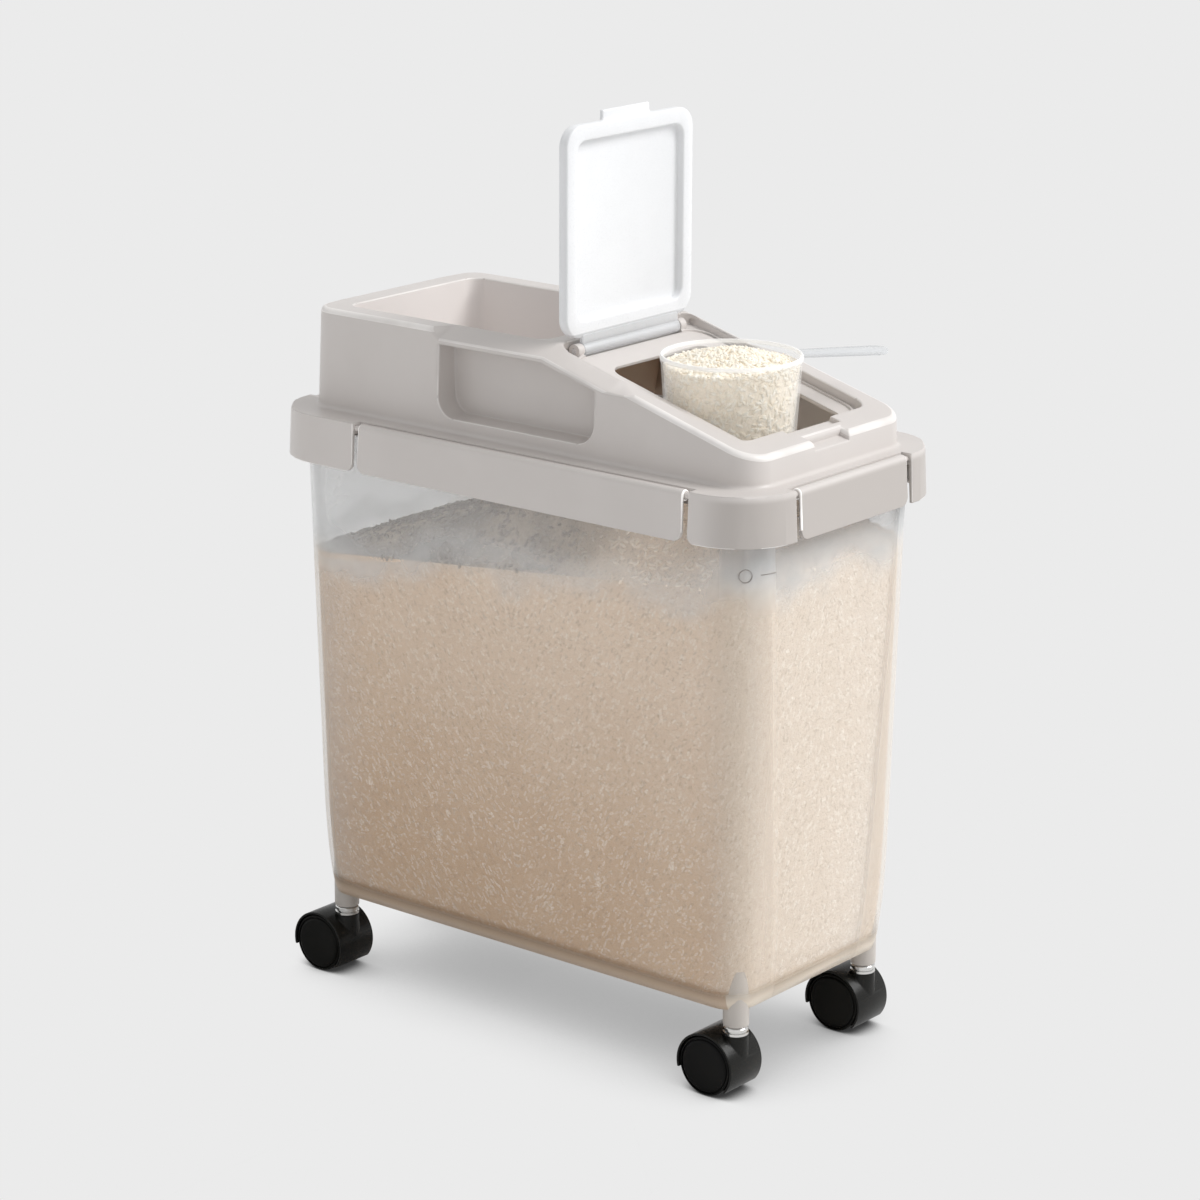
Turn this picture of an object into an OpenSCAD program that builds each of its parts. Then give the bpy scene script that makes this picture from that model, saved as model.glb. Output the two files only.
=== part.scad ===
// Rice bin on casters with a clip-down lid, a tray, two side grips and a flip flap.
// Millimetres, +Z up, front (the end with the flap's finger notch) towards -Y.
// The origin lies on the floor, midway between the four casters.

/* [Tub] */
// Width between the tub's straight walls, carried down to its base
tub_base_w = 165; // [144:1:175]
// Length between the tub's straight walls, carried down to its base
tub_base_l = 348; // [325:1:360]
// Corner radius of the tub at its base
tub_base_r = 24; // [20:1:30]
// Width of the tub at its rim
tub_top_w = 184; // [178:0.2:190]
// Length of the tub at its rim
tub_top_l = 365; // [350:0.2:372]
// Corner radius of the tub at its rim
tub_top_r = 35; // [28:1:38]
// Height of the tub from its base to its rim
tub_h = 319; // [260:0.2:340]
// Thickness of the tub wall
tub_wall = 2.5; // [2:0.1:3.5]
// Thickness of the tub floor
tub_floor = 3; // [2:0.1:5]
// How far the rim bead stands out from the long walls
bead_w = 4; // [3.4:0.1:4.4]
// How far the rim bead stands out from the end walls
bead_end_w = 5.5; // [3.4:0.1:6]
// Height of the rim bead
bead_h = 10; // [6:0.5:12]
// Distance from the rim down to the top of the bead
bead_drop = 3; // [2:0.1:4]
// Height of the part of the wall that curves in to the base
foot_h = 76; // [40:1:80]
// How far the wall curves in to the base
foot_in = 6.5; // [2:0.5:7]

/* [Casters] */
// Diameter of a caster wheel
wheel_d = 38; // [34:0.5:44]
// Width of one wheel
wheel_w = 12; // [10:0.5:16]
// Distance from the tread in to the ring groove on the wheel's face
face_groove_in = 2.6; // [2:0.1:5]
// Width of that groove
face_groove_w = 1.6; // [1:0.1:3]
// Depth of that groove
face_groove_depth = 0.6; // [0.3:0.1:0.8]
// Thickness of the hood's middle web
web_w = 6; // [6:0.5:9]
// Side gap between a wheel and the web
wheel_side_gap = 0.5; // [0.3:0.1:1]
// Gap between a wheel's tread and the inside of the hood
tread_gap = 0.5; // [0.5:0.1:1.5]
// Thickness of the hood over the tread
hood_t = 1.4; // [1.2:0.1:3]
// Height of the front edge of the hood above the floor
hood_front_z = 5.5; // [4:0.5:12]
// Height of the back edge of the hood above the floor
hood_back_z = 14; // [10:0.5:15]
// Distance from the stem axis back to the wheel axis
caster_trail = 12.4; // [8:0.2:13]
// Distance from a side of the tub's base in to a stem
caster_in_x = 16.5; // [15:0.5:22]
// Distance from an end of the tub's base in to a stem
caster_in_y = 14; // [13:0.5:24]
// Diameter of the axle
axle_d = 6; // [5:0.5:7]
// Diameter of the stem
stem_d = 10.9; // [9:0.1:11]
// Diameter of the stem's lower end, inside the hood
stem_foot_d = 4; // [3:0.1:4.4]
// Height of the stem's lower end above the wheel axis
stem_foot_z = 6; // [5:0.5:10]
// Diameter of the collar on the stem
collar_d = 15.6; // [14:0.2:16]
// Height of the collar
collar_h = 5.6; // [4:0.2:7]
// Height of the groove's lower edge above the foot of the collar
collar_groove_z = 2.2; // [1.5:0.1:2.6]
// Height of the groove round the collar
collar_groove_h = 0.9; // [0.6:0.1:1.2]
// Depth of the groove round the collar
collar_groove_depth = 0.8; // [0.4:0.1:1.2]
// How far the collar sits below the top of the hood
collar_sink = 0.8; // [0:0.1:2]
// Wall of the sleeve that holds a stem
sleeve_wall = 1; // [0.8:0.1:1.2]
// Depth of the stem in the sleeve
stem_grip = 34; // [25:1:40]
// Diameter of the boss in each corner of the tub
boss_d = 16; // [15.6:0.2:17]
// How far a boss reaches below the tub base
boss_drop = 11; // [8:0.2:16]

/* [Lid] */
// Height of the hanging rim of the lid
skirt_h = 30.5; // [26:0.5:34]
// How far the hanging rim flares out at its lower edge
skirt_flare = 1.5; // [0.5:0.1:2]
// Gap between the tub's bead and the inside of the rim
skirt_gap = 1.8; // [1:0.1:2.2]
// Thickness of the lid's walls
lid_wall = 2.2; // [1.8:0.1:2.6]
// Thickness of the lid's flange
flange_t = 3; // [2.5:0.1:4]
// Thickness of the seal under the flange
seal_t = 2.7; // [2:0.1:3.5]
// Width of the seal
seal_w = 3; // [2.5:0.1:3]
// Width of the raised part of the lid, at the flange
upper_base_w = 158; // [150:1:162]
// Length of the raised part of the lid, at the flange
upper_base_l = 352; // [346:1:356]
// Corner radius of the raised part at the flange
upper_base_r = 19; // [16:1:26]
// How far each side of the raised part leans in up to its top
upper_draft = 2.7; // [1:0.1:4]
// Height of the raised part above the flange
upper_h = 63; // [56:0.5:70]
// Where the slope starts, measured back from the bin's middle
slope_y = -16; // [-24:0.5:-12]
// Tilt of the sloping deck
deck_tilt = 15.6; // [12:0.2:17]
// Depth of the locating rib inside the tub
rib_h = 8; // [4:0.5:10]
// Side gap between the locating rib and the tub
rib_gap = 1; // [0.6:0.1:2]

/* [Tray and grips] */
// Width of the tray at its top
tray_w = 121; // [100:1:122]
// Front edge of the tray, measured back from the bin's middle
tray_front_y = -5; // [-8:0.5:20]
// Back edge of the tray, measured back from the bin's middle
tray_back_y = 156.5; // [130:0.5:160]
// Depth of the tray
tray_depth = 51; // [30:1:54]
// How far each wall of the tray leans in down to its floor
tray_draft = 6; // [3:0.5:8]
// Corner radius of the tray
tray_r = 9; // [8:0.5:14]
// Front edge of a grip pocket
grip_front_y = -57; // [-60:1:-50]
// Back edge of a grip pocket
grip_back_y = 66; // [55:1:80]
// Depth of a grip pocket
grip_depth = 15; // [10:0.5:15.5]
// Height of the bottom of a grip pocket above the flange
grip_bottom = 8.5; // [6:0.5:14]
// Corner radius of a grip pocket
grip_r = 13; // [8:0.5:16]
// Depth of solid material over a grip pocket
grip_bar_t = 10; // [9:0.5:12]
// How far the outer edge of a grip bar is cut down
grip_chamfer_h = 6.5; // [3:0.5:7]
// Length of the ramp at the back end of that cut
bar_back_ramp = 8; // [5:1:15]
// Length of the ramp at the front end of that cut
bar_front_ramp = 24; // [10:1:30]

/* [Mouth] */
// Width of the recess for the flap
recess_w = 127; // [125:0.5:128]
// Depth of the recess below the deck
recess_depth = 6.8; // [6.6:0.1:8]
// Distance from the front of the raised part back to the recess
recess_lip = 20.2; // [18:0.1:24]
// Corner radius of the recess
recess_r = 10; // [6:0.5:14]
// Width of the mouth
mouth_w = 94; // [80:1:100]
// Distance from the start of the slope to the mouth
mouth_start = 30; // [24:0.5:36]
// Width of the ledge between the mouth and the front of the recess
mouth_ledge = 2; // [1.5:0.1:4]
// Width of the bead around the flap's seat
seat_bead_w = 1.6; // [1:0.1:2]
// Height of that bead
seat_bead_h = 1.2; // [0.6:0.1:1.4]
// Gap along the deck between the hinge barrel and that bead
seat_back_gap = 1.5; // [1:0.1:3]

/* [Flap] */
// Width of the flap
flap_w = 121; // [110:0.5:122]
// Length of the flap
flap_l = 128; // [120:0.5:129]
// Thickness of the flap over its raised frame
flap_t = 7; // [5:0.5:7.2]
// How far the closed flap stands above the deck
flap_proud = 0.9; // [0:0.1:1.2]
// Thickness of the flap's panel
flap_panel_t = 2; // [1.6:0.1:3]
// Width of the raised frame
flap_frame_w = 9.5; // [6:0.5:14]
// Corner radius of the flap
flap_r = 13; // [8:0.5:16]
// Distance from the hinge axis to the flap's lower edge
flap_gap = 7.5; // [6.5:0.5:9]
// Width of the hinge leaf
leaf_w = 93; // [60:1:96]
// Radius of the hinge barrel
barrel_r = 4.2; // [3.6:0.1:4.4]
// Diameter of the hinge pin
hinge_pin_d = 4; // [3:0.1:4.5]
// Distance from the start of the slope to the hinge axis
hinge_in = 6.5; // [5.5:0.1:8]
// Depth of the hinge axis below the deck
hinge_down = 4.6; // [4.4:0.1:5]
// Width of each hinge ear
ear_w = 5.5; // [4:0.5:7]
// Width of the pull tab
tab_w = 45; // [30:1:60]
// How far the pull tab stands out
tab_l = 6; // [3:0.5:7]
// Thickness of the pull tab
tab_t = 3; // [2:0.1:3]
// Width of the finger notch in front of the tab
notch_w = 34; // [20:1:40]
// Depth of the finger notch
notch_depth = 5; // [2:0.5:6]
// Distance from the recess to the back of the finger notch
notch_back = 14; // [12:0.5:16]

/* [Clips] */
// Length of a clip on a long side
long_clip_l = 254; // [200:1:256]
// Place of the long clips' middle, measured back from the bin's middle
long_clip_y = -14.5; // [-16:0.5:10]
// Length of a clip on a short side
short_clip_l = 107; // [80:1:108]
// Gap between a clip and the rim's corner
clip_gap = 4.5; // [3:0.5:6]
// Radius of a clip's hinge barrel
clip_barrel_r = 3.5; // [3:0.1:3.6]
// Diameter of a clip's hinge pins
clip_pin_d = 3.5; // [2.5:0.1:4]
// Length of a pin inside the rim's corner
clip_pin_l = 4; // [3:0.5:6]
// Thickness of a clip's plate
clip_t = 2.2; // [1.6:0.1:2.4]
// Corner radius of a clip
clip_r = 6; // [3:0.5:10]
// Height of the snap rib on a clip
snap_h = 3; // [2:0.5:4]

/* [Scoop] */
// Diameter of the scoop's rim
scoop_d = 86; // [70:1:90]
// Diameter of the scoop's bottom
scoop_base_d = 76; // [60:1:80]
// Height of the scoop
scoop_h = 75; // [50:1:78]
// Wall of the scoop
scoop_wall = 1.6; // [1.2:0.1:2.5]
// Height of the scoop's rim above the lid's flange
scoop_rim_h = 58; // [50:1:60]
// Place of the scoop, measured back from the bin's middle
scoop_y = -100; // [-102:0.5:-96]
// Length of the handle beyond the rim
handle_l = 54; // [40:1:60]
// Width of the handle at its end
handle_w = 19; // [14:0.5:24]
// Width of the handle at the rim
handle_root_w = 15; // [10:0.5:20]
// Thickness of the handle
handle_t = 3; // [2:0.1:4]
// Turn of the handle about the scoop
handle_turn = -38.5; // [-50:0.5:-20]

/* [Rice] */
// Height of the rice at the back wall, above the tub base
rice_back_h = 231; // [180:1:250]
// Height of the rice at the front wall, above the tub base
rice_front_h = 268; // [200:1:280]
// Gap between the rice and the tub
rice_gap = 0.2; // [0.1:0.1:0.5]
// Distance from the scoop's rim down to the edge of its rice
scoop_rice_drop = 4; // [2:0.5:8]
// How far the rice is heaped in the scoop above its rim
scoop_heap = 4; // [1:0.5:8]

/* [Fits] */
// Radial gap of a shaft that turns in its bore
run_gap = 0.05; // [0.03:0.01:0.08]
// Gap between pieces that only come close
near_gap = 0.3; // [0.3:0.05:0.5]

/* [Hidden] */
$fn = 48;
hull_fn = 32;
slab = 0.01;
foot_steps = 6;

caster_x = tub_base_w / 2 - caster_in_x;
caster_y = tub_base_l / 2 - caster_in_y;
wheel_r = wheel_d / 2;
hood_inner_r = wheel_r + tread_gap;
hood_r = hood_inner_r + hood_t;
hood_w = web_w + 2 * (wheel_side_gap + wheel_w);
collar_z = wheel_r + hood_r - collar_sink;
boss_z = collar_z + collar_h + near_gap;
base_z = boss_z + boss_drop;
tub_rim_z = base_z + tub_h;
stem_top_z = boss_z + stem_grip;
socket_top_z = stem_top_z + near_gap;
boss_top_z = socket_top_z + tub_wall;
sleeve_od = stem_d + 2 * (run_gap + sleeve_wall);
stem_seat = wheel_r + stem_foot_z;

bead_top_z = tub_rim_z - bead_drop;
bead_bottom_z = bead_top_z - bead_h;
bead_half_w = tub_top_w / 2 + bead_w;
bead_half_l = tub_top_l / 2 + bead_end_w;

flange_z = tub_rim_z + near_gap + seal_t;
lid_z = flange_z + flange_t;
skirt_z = lid_z - skirt_h;
rim_half_w = bead_half_w + skirt_gap + lid_wall;
rim_half_l = bead_half_l + skirt_gap + lid_wall;
rim_r = tub_top_r + bead_w + 1;
top_z = lid_z + upper_h;
rib_half_w = tub_top_w / 2 - tub_wall - rib_gap;
rib_half_l = tub_top_l / 2 - tub_wall - rib_gap;
rib_r = tub_top_r - tub_wall - rib_gap;

recess_end = (upper_base_l / 2 + slope_y - recess_lip) / cos(deck_tilt);
hinge_y = slope_y - hinge_in * cos(deck_tilt) + hinge_down * sin(deck_tilt);
hinge_z = top_z - hinge_in * sin(deck_tilt) - hinge_down * cos(deck_tilt);
flap_top = hinge_down + flap_proud;
flap_under = flap_t - flap_top;
flap_end = hinge_in + flap_gap + flap_l;
ear_x = leaf_w / 2 + near_gap;

grip_x = upper_base_w / 2 - upper_draft - grip_depth;
grip_bottom_z = lid_z + grip_bottom;
grip_top_z = top_z - grip_bar_t;
bar_front_start = 9;
bar_kink_in = 1;
bar_cut_reach = 1.3;
tab_room = 1.5;
groove_room = 0.5;
snap_share = 0.6;

clip_axis_in = clip_barrel_r;
clip_axis_z = lid_z - clip_barrel_r;
window_in = 2 * clip_barrel_r + near_gap;
clip_bore_d = clip_pin_d + 2 * run_gap;
clip_block_t = clip_pin_l + near_gap + 1.5;
snap_z = bead_bottom_z - near_gap - snap_h;

scoop_z = lid_z + scoop_rim_h - scoop_h;
rice_peak_z = scoop_z - near_gap;

// ---- shared shapes ----

// Upright block with round corners, made of true cylinders
module round_block(half_w, half_l, r, h) {
    translate([-half_w, -half_l + r, 0]) cube([2 * half_w, 2 * (half_l - r), h]);
    translate([-half_w + r, -half_l, 0]) cube([2 * (half_w - r), 2 * half_l, h]);
    for (x = [-1, 1]) {
        for (y = [-1, 1]) {
            translate([x * (half_w - r), y * (half_l - r), 0]) cylinder(r = r, h = h);
        }
    }
}

// Thin slab with round corners, used as one section of a leaning wall
module section(half_w, half_l, r, z) {
    for (x = [-1, 1]) {
        for (y = [-1, 1]) {
            translate([x * (half_w - r), y * (half_l - r), z]) cylinder(r = r, h = slab, $fn = hull_fn);
        }
    }
}

module leaning_block(half_w0, half_l0, r0, z0, half_w1, half_l1, r1, z1) {
    hull() {
        section(half_w0, half_l0, r0, z0);
        section(half_w1, half_l1, r1, z1 - slab);
    }
}

// Frame of the sloping deck: -Y runs down the slope and +Z stands out of it
module on_deck() {
    translate([0, slope_y, top_z]) rotate([deck_tilt, 0, 0]) children();
}

module at_caster(side, end) {
    translate([side * caster_x, end * caster_y, 0]) children();
}

// ---- tub ----

function curve_in(z) = z < base_z + foot_h ? foot_in * (1 - sqrt(1 - pow(1 - (z - base_z) / foot_h, 2))) : 0;
function tub_half_w(z) = (tub_base_w + (tub_top_w - tub_base_w) * (z - base_z) / tub_h) / 2 - curve_in(z);
function tub_half_l(z) = (tub_base_l + (tub_top_l - tub_base_l) * (z - base_z) / tub_h) / 2 - curve_in(z);
function tub_r(z) = tub_base_r + (tub_top_r - tub_base_r) * (z - base_z) / tub_h - curve_in(z);

// Sections of the tub's foot and straight wall from z0 to z1, moved in by t
module tub_sections(z0, z1, t) {
    levels = [for (i = [0:foot_steps]) base_z + foot_h * (1 - cos(90 * i / foot_steps))];
    for (z = concat([z0], [for (z = levels) if (z > z0 + slab && z < z1) z], [z1])) {
        section(tub_half_w(z) - t, tub_half_l(z) - t, tub_r(z) - t, z);
    }
}

module tub_outside() {
    hull() tub_sections(base_z, tub_rim_z - slab, 0);
}

// Inside of the tub, moved in from the wall and the floor by gap
module tub_inside(gap) {
    hull() tub_sections(base_z + tub_floor + gap, tub_rim_z + slab, tub_wall + gap);
}

module bin_tub() {
    color([0.86, 0.89, 0.91, 0.5]) difference() {
        union() {
            difference() {
                union() {
                    tub_outside();
                    translate([0, 0, bead_bottom_z])
                        round_block(bead_half_w, bead_half_l, tub_top_r + bead_w, bead_h);
                }
                tub_inside(0);
            }
            for (x = [-1, 1]) {
                for (y = [-1, 1]) {
                    at_caster(x, y) translate([0, 0, boss_z]) cylinder(d = boss_d, h = boss_top_z - boss_z);
                }
            }
        }
        for (x = [-1, 1]) {
            for (y = [-1, 1]) {
                at_caster(x, y) translate([0, 0, boss_z - 1])
                    cylinder(d = sleeve_od, h = socket_top_z - boss_z + 1);
            }
        }
    }
}

module caster_sleeves() {
    color([0.8, 0.8, 0.8]) for (x = [-1, 1]) {
        for (y = [-1, 1]) {
            at_caster(x, y) translate([0, 0, boss_z]) difference() {
                cylinder(d = sleeve_od, h = stem_grip);
                translate([0, 0, -1]) cylinder(d = stem_d + 2 * run_gap, h = stem_grip + 2);
            }
        }
    }
}

module rice_fill() {
    back_z = base_z + rice_back_h;
    front_z = base_z + rice_front_h;
    t = tub_wall + rice_gap;
    color([0.85, 0.78, 0.68]) difference() {
        hull() {
            tub_sections(base_z + tub_floor + rice_gap, back_z, t);
            for (x = [-1, 1]) {
                translate([x * (tub_half_w(front_z) - tub_r(front_z)),
                           -(tub_half_l(front_z) - tub_r(front_z)), front_z])
                    cylinder(r = tub_r(front_z) - t, h = slab, $fn = hull_fn);
            }
            translate([0, scoop_y, rice_peak_z - slab])
                cylinder(d = scoop_base_d, h = slab, $fn = hull_fn);
        }
        for (x = [-1, 1]) {
            for (y = [-1, 1]) {
                at_caster(x, y) translate([0, 0, base_z])
                    cylinder(d = boss_d + 2 * rice_gap, h = boss_top_z + rice_gap - base_z);
            }
        }
    }
}

// ---- casters ----

module caster_stem() {
    color([0.8, 0.8, 0.82]) {
        translate([0, 0, stem_seat]) cylinder(d = stem_foot_d, h = collar_z - stem_seat + 1);
        translate([0, 0, collar_z]) cylinder(d = stem_d, h = stem_top_z - collar_z);
        difference() {
            translate([0, 0, collar_z]) cylinder(d = collar_d, h = collar_h);
            translate([0, 0, collar_z + collar_groove_z]) difference() {
                cylinder(d = collar_d + 1, h = collar_groove_h);
                translate([0, 0, -1]) cylinder(d = collar_d - 2 * collar_groove_depth, h = collar_h);
            }
        }
    }
}

module along_axle() {
    translate([0, caster_trail, wheel_r]) rotate([0, 90, 0]) children();
}

module caster_hood() {
    well_w = hood_w / 2 - web_w / 2 + 1;
    color([0.1, 0.1, 0.1]) difference() {
        union() {
            along_axle() cylinder(r = hood_r, h = hood_w, center = true);
            translate([0, 0, wheel_r]) cylinder(d = collar_d, h = collar_z - wheel_r);
        }
        for (side = [-1, 1]) {
            translate([side * (web_w / 2 + well_w / 2), 0, 0]) along_axle()
                cylinder(r = hood_inner_r, h = well_w, center = true);
        }
        translate([-hood_w, caster_trail, hood_back_z - hood_r]) cube([2 * hood_w, hood_r + 1, hood_r]);
        translate([-hood_w, -2 * hood_r, hood_front_z - hood_r]) cube([2 * hood_w, 4 * hood_r, hood_r]);
        translate([0, 0, collar_z]) cylinder(d = collar_d + 2 * near_gap, h = hood_r);
        translate([0, 0, stem_seat]) cylinder(d = stem_foot_d, h = hood_r + wheel_r);
        along_axle() cylinder(d = axle_d, h = 2 * hood_w, center = true);
    }
}

module caster_axle() {
    color([0.7, 0.7, 0.72]) along_axle() cylinder(d = axle_d, h = hood_w - 4, center = true);
}

// One wheel: side -1 lies towards -X and +1 towards +X
module caster_wheel(side) {
    inner_x = web_w / 2 + wheel_side_gap;
    color([0.08, 0.08, 0.08]) translate([0, caster_trail, wheel_r]) rotate([0, side * 90, 0])
        translate([0, 0, inner_x]) difference() {
            union() {
                cylinder(r = wheel_r, h = wheel_w - 1);
                cylinder(r = wheel_r - 1, h = wheel_w);
            }
            translate([0, 0, -1]) cylinder(d = axle_d + 2 * run_gap, h = wheel_w - 1);
            translate([0, 0, wheel_w - face_groove_depth]) difference() {
                cylinder(r = wheel_r - face_groove_in, h = 1);
                translate([0, 0, -1]) cylinder(r = wheel_r - face_groove_in - face_groove_w, h = 3);
            }
        }
}

// ---- lid ----

module upper_outside(t) {
    leaning_block(upper_base_w / 2 - t, upper_base_l / 2 - t, upper_base_r - t, flange_z - t,
                  upper_base_w / 2 - upper_draft - t, upper_base_l / 2 - upper_draft - t,
                  upper_base_r - t - upper_draft, top_z - t);
}

// Everything above the slope, lowered by t
module above_slope(t) {
    on_deck() translate([-rim_half_w, -upper_base_l, -t])
        cube([2 * rim_half_w, upper_base_l, 2 * upper_h]);
}

module tray_space(t) {
    half_w = tray_w / 2 + t;
    half_l = (tray_back_y - tray_front_y) / 2 + t;
    low_z = top_z - tray_depth - t;
    translate([0, (tray_back_y + tray_front_y) / 2, 0])
        leaning_block(half_w - tray_draft, half_l - tray_draft, tray_r, low_z, half_w, half_l, tray_r, top_z + 1);
}

// Side outline of a grip pocket, grown by t
module grip_outline(t) {
    intersection() {
        translate([grip_front_y - t, grip_bottom_z - t]) {
            translate([grip_r, 0]) square([grip_back_y - grip_front_y + 2 * t - 2 * grip_r, upper_h]);
            translate([0, grip_r]) square([grip_back_y - grip_front_y + 2 * t, upper_h]);
            translate([grip_r, grip_r]) circle(r = grip_r);
            translate([grip_back_y - grip_front_y + 2 * t - grip_r, grip_r]) circle(r = grip_r);
        }
        polygon([[grip_back_y + upper_h, grip_bottom_z - upper_h], [grip_back_y + upper_h, grip_top_z + t],
                 [slope_y, grip_top_z + t],
                 [slope_y - upper_h, grip_top_z + t - upper_h * tan(deck_tilt)],
                 [grip_front_y - upper_h, grip_bottom_z - upper_h]]);
    }
}

module grip_space(side, t) {
    translate([side * (grip_x - t), 0, 0]) rotate([90, 0, 90]) mirror([0, 0, side > 0 ? 0 : 1])
        linear_extrude(height = rim_half_w) grip_outline(t);
}

// Cuts down the outer edge of a grip bar: flat at first, then down the slope, with a ramp at both ends
module grip_bar_cut(side) {
    edge_x = upper_base_w / 2 - upper_draft;
    inner_x = tray_w / 2 + 1;
    a = atan(grip_chamfer_h / (edge_x - inner_x));
    kink_y = slope_y - bar_kink_in;
    end_y = grip_front_y - bar_front_start;
    back = 2 * bar_back_ramp;
    front = bar_cut_reach * bar_front_ramp;
    end_z = (end_y - kink_y) * tan(deck_tilt);
    front_z = end_z - front * tan(deck_tilt) + bar_cut_reach * grip_chamfer_h;
    mirror([side > 0 ? 0 : 1, 0, 0]) translate([inner_x, 0, top_z]) rotate([0, a, 0])
        translate([-bar_back_ramp, 0, 0]) rotate([90, 0, 90]) linear_extrude(height = upper_base_w / 2)
            scale([1, cos(a)])
                polygon([[grip_back_y + back, 2 * grip_chamfer_h], [grip_back_y, 0], [kink_y, 0], [end_y, end_z],
                         [end_y - front, front_z], [end_y - front, upper_h], [grip_back_y + back, upper_h]]);
}

// Room for the solid bar over a grip pocket
module bar_space(side) {
    x = side > 0 ? grip_x - lid_wall : -grip_x + lid_wall - upper_base_w;
    front_l = (slope_y - grip_front_y + bar_front_start) / cos(deck_tilt) + bar_front_ramp;
    translate([x, slope_y, grip_top_z - lid_wall])
        cube([upper_base_w, grip_back_y - slope_y + bar_back_ramp + lid_wall, upper_h]);
    on_deck() translate([x, -front_l, -grip_bar_t - lid_wall])
        cube([upper_base_w, front_l + grip_bar_t, upper_h]);
}

module rim_ring() {
    difference() {
        leaning_block(rim_half_w + skirt_flare, rim_half_l + skirt_flare, rim_r + skirt_flare, skirt_z,
                      rim_half_w, rim_half_l, rim_r, lid_z);
        leaning_block(rim_half_w + skirt_flare - lid_wall, rim_half_l + skirt_flare - lid_wall,
                      rim_r + skirt_flare - lid_wall, skirt_z - 1,
                      rim_half_w - lid_wall, rim_half_l - lid_wall, rim_r - lid_wall, flange_z);
    }
}

// Places a clip, or what goes with one, on each of the four sides in turn
module at_left() {
    translate([-rim_half_w, long_clip_y, 0]) children();
}

module at_right() {
    translate([rim_half_w, long_clip_y, 0]) rotate([0, 0, 180]) children();
}

module at_front() {
    translate([0, -rim_half_l, 0]) rotate([0, 0, 90]) children();
}

module at_rear() {
    translate([0, rim_half_l, 0]) rotate([0, 0, -90]) children();
}

module clip_window(len) {
    half = len / 2 + clip_gap;
    translate([-skirt_flare - 1, -half, skirt_z - 1]) cube([window_in + skirt_flare + 1, 2 * half, skirt_h + 2]);
}

// Blocks at both ends of a window, which hold the clip's pins
module clip_blocks(len) {
    for (end = [-1, 1]) {
        y = end > 0 ? len / 2 + clip_gap : -len / 2 - clip_gap - clip_block_t;
        translate([lid_wall / 2, y, clip_axis_z - clip_barrel_r])
            cube([window_in - lid_wall / 2, clip_block_t, clip_barrel_r + clip_barrel_r / 2]);
    }
}

module clip_bores(len) {
    bore_l = clip_gap + clip_pin_l + near_gap;
    for (end = [-1, 1]) {
        y = end > 0 ? len / 2 : -len / 2 - bore_l;
        translate([clip_axis_in, y, clip_axis_z]) rotate([-90, 0, 0]) cylinder(d = clip_bore_d, h = bore_l);
    }
}

module hinge_ears() {
    for (side = [-1, 1]) {
        x = side > 0 ? ear_x : -ear_x - ear_w;
        translate([x, 0, 0]) {
            translate([0, -hinge_in, -hinge_down]) rotate([0, 90, 0]) cylinder(r = barrel_r, h = ear_w);
            translate([0, -hinge_in - barrel_r, -recess_depth - lid_wall / 2])
                cube([ear_w, 2 * barrel_r, recess_depth + lid_wall / 2 - hinge_down]);
        }
    }
}

// Round-cornered space in the deck, from distance y0 to y1 down the slope
module deck_space(half_w, y0, y1, r, z0, z1) {
    translate([0, -(y0 + y1) / 2, z0]) round_block(half_w, (y1 - y0) / 2, r, z1 - z0);
}

module flap_recess() {
    deck_space(recess_w / 2, 1, recess_end, recess_r, -recess_depth, upper_h);
}

module mouth_opening() {
    deck_space(mouth_w / 2, mouth_start, recess_end - mouth_ledge, recess_r, -upper_h, upper_h);
}

// Notch for the flap's pull tab, grown by t
module tab_notch(t) {
    translate([-tab_w / 2 - tab_room - t, -recess_end - tab_l - tab_room - t, -tab_t - near_gap - t])
        cube([tab_w + 2 * (tab_room + t), tab_l + 2 * (tab_room + t), upper_h]);
}

// Notch in the front edge for a finger, grown by t
module finger_notch(t) {
    translate([-notch_w / 2 - t, -recess_end - recess_lip - notch_back, -notch_depth - t])
        cube([notch_w + 2 * t, recess_lip + t, upper_h]);
}

// Groove under the flap's hinge barrel, grown by t
module hinge_groove(t) {
    half = barrel_r + groove_room + t;
    translate([-leaf_w / 2 - near_gap - t, -hinge_in - half, -hinge_down - barrel_r - groove_room - t])
        cube([leaf_w + 2 * (near_gap + t), 2 * half, upper_h]);
}

// Bead around the flap's seat, open where the hinge leaf passes
module seat_bead() {
    half = flap_w / 2 + near_gap;
    y0 = hinge_in + barrel_r + seat_back_gap;
    y1 = flap_end + near_gap;
    difference() {
        deck_space(half + seat_bead_w, y0 - seat_bead_w, y1 + seat_bead_w, flap_r + seat_bead_w,
                   -recess_depth - lid_wall / 2, -recess_depth + seat_bead_h);
        deck_space(half, y0, y1, flap_r, -upper_h, upper_h);
        translate([-leaf_w / 2 - near_gap, -y0 - seat_bead_w, -upper_h])
            cube([leaf_w + 2 * near_gap, 3 * seat_bead_w, 2 * upper_h]);
    }
}

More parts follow.
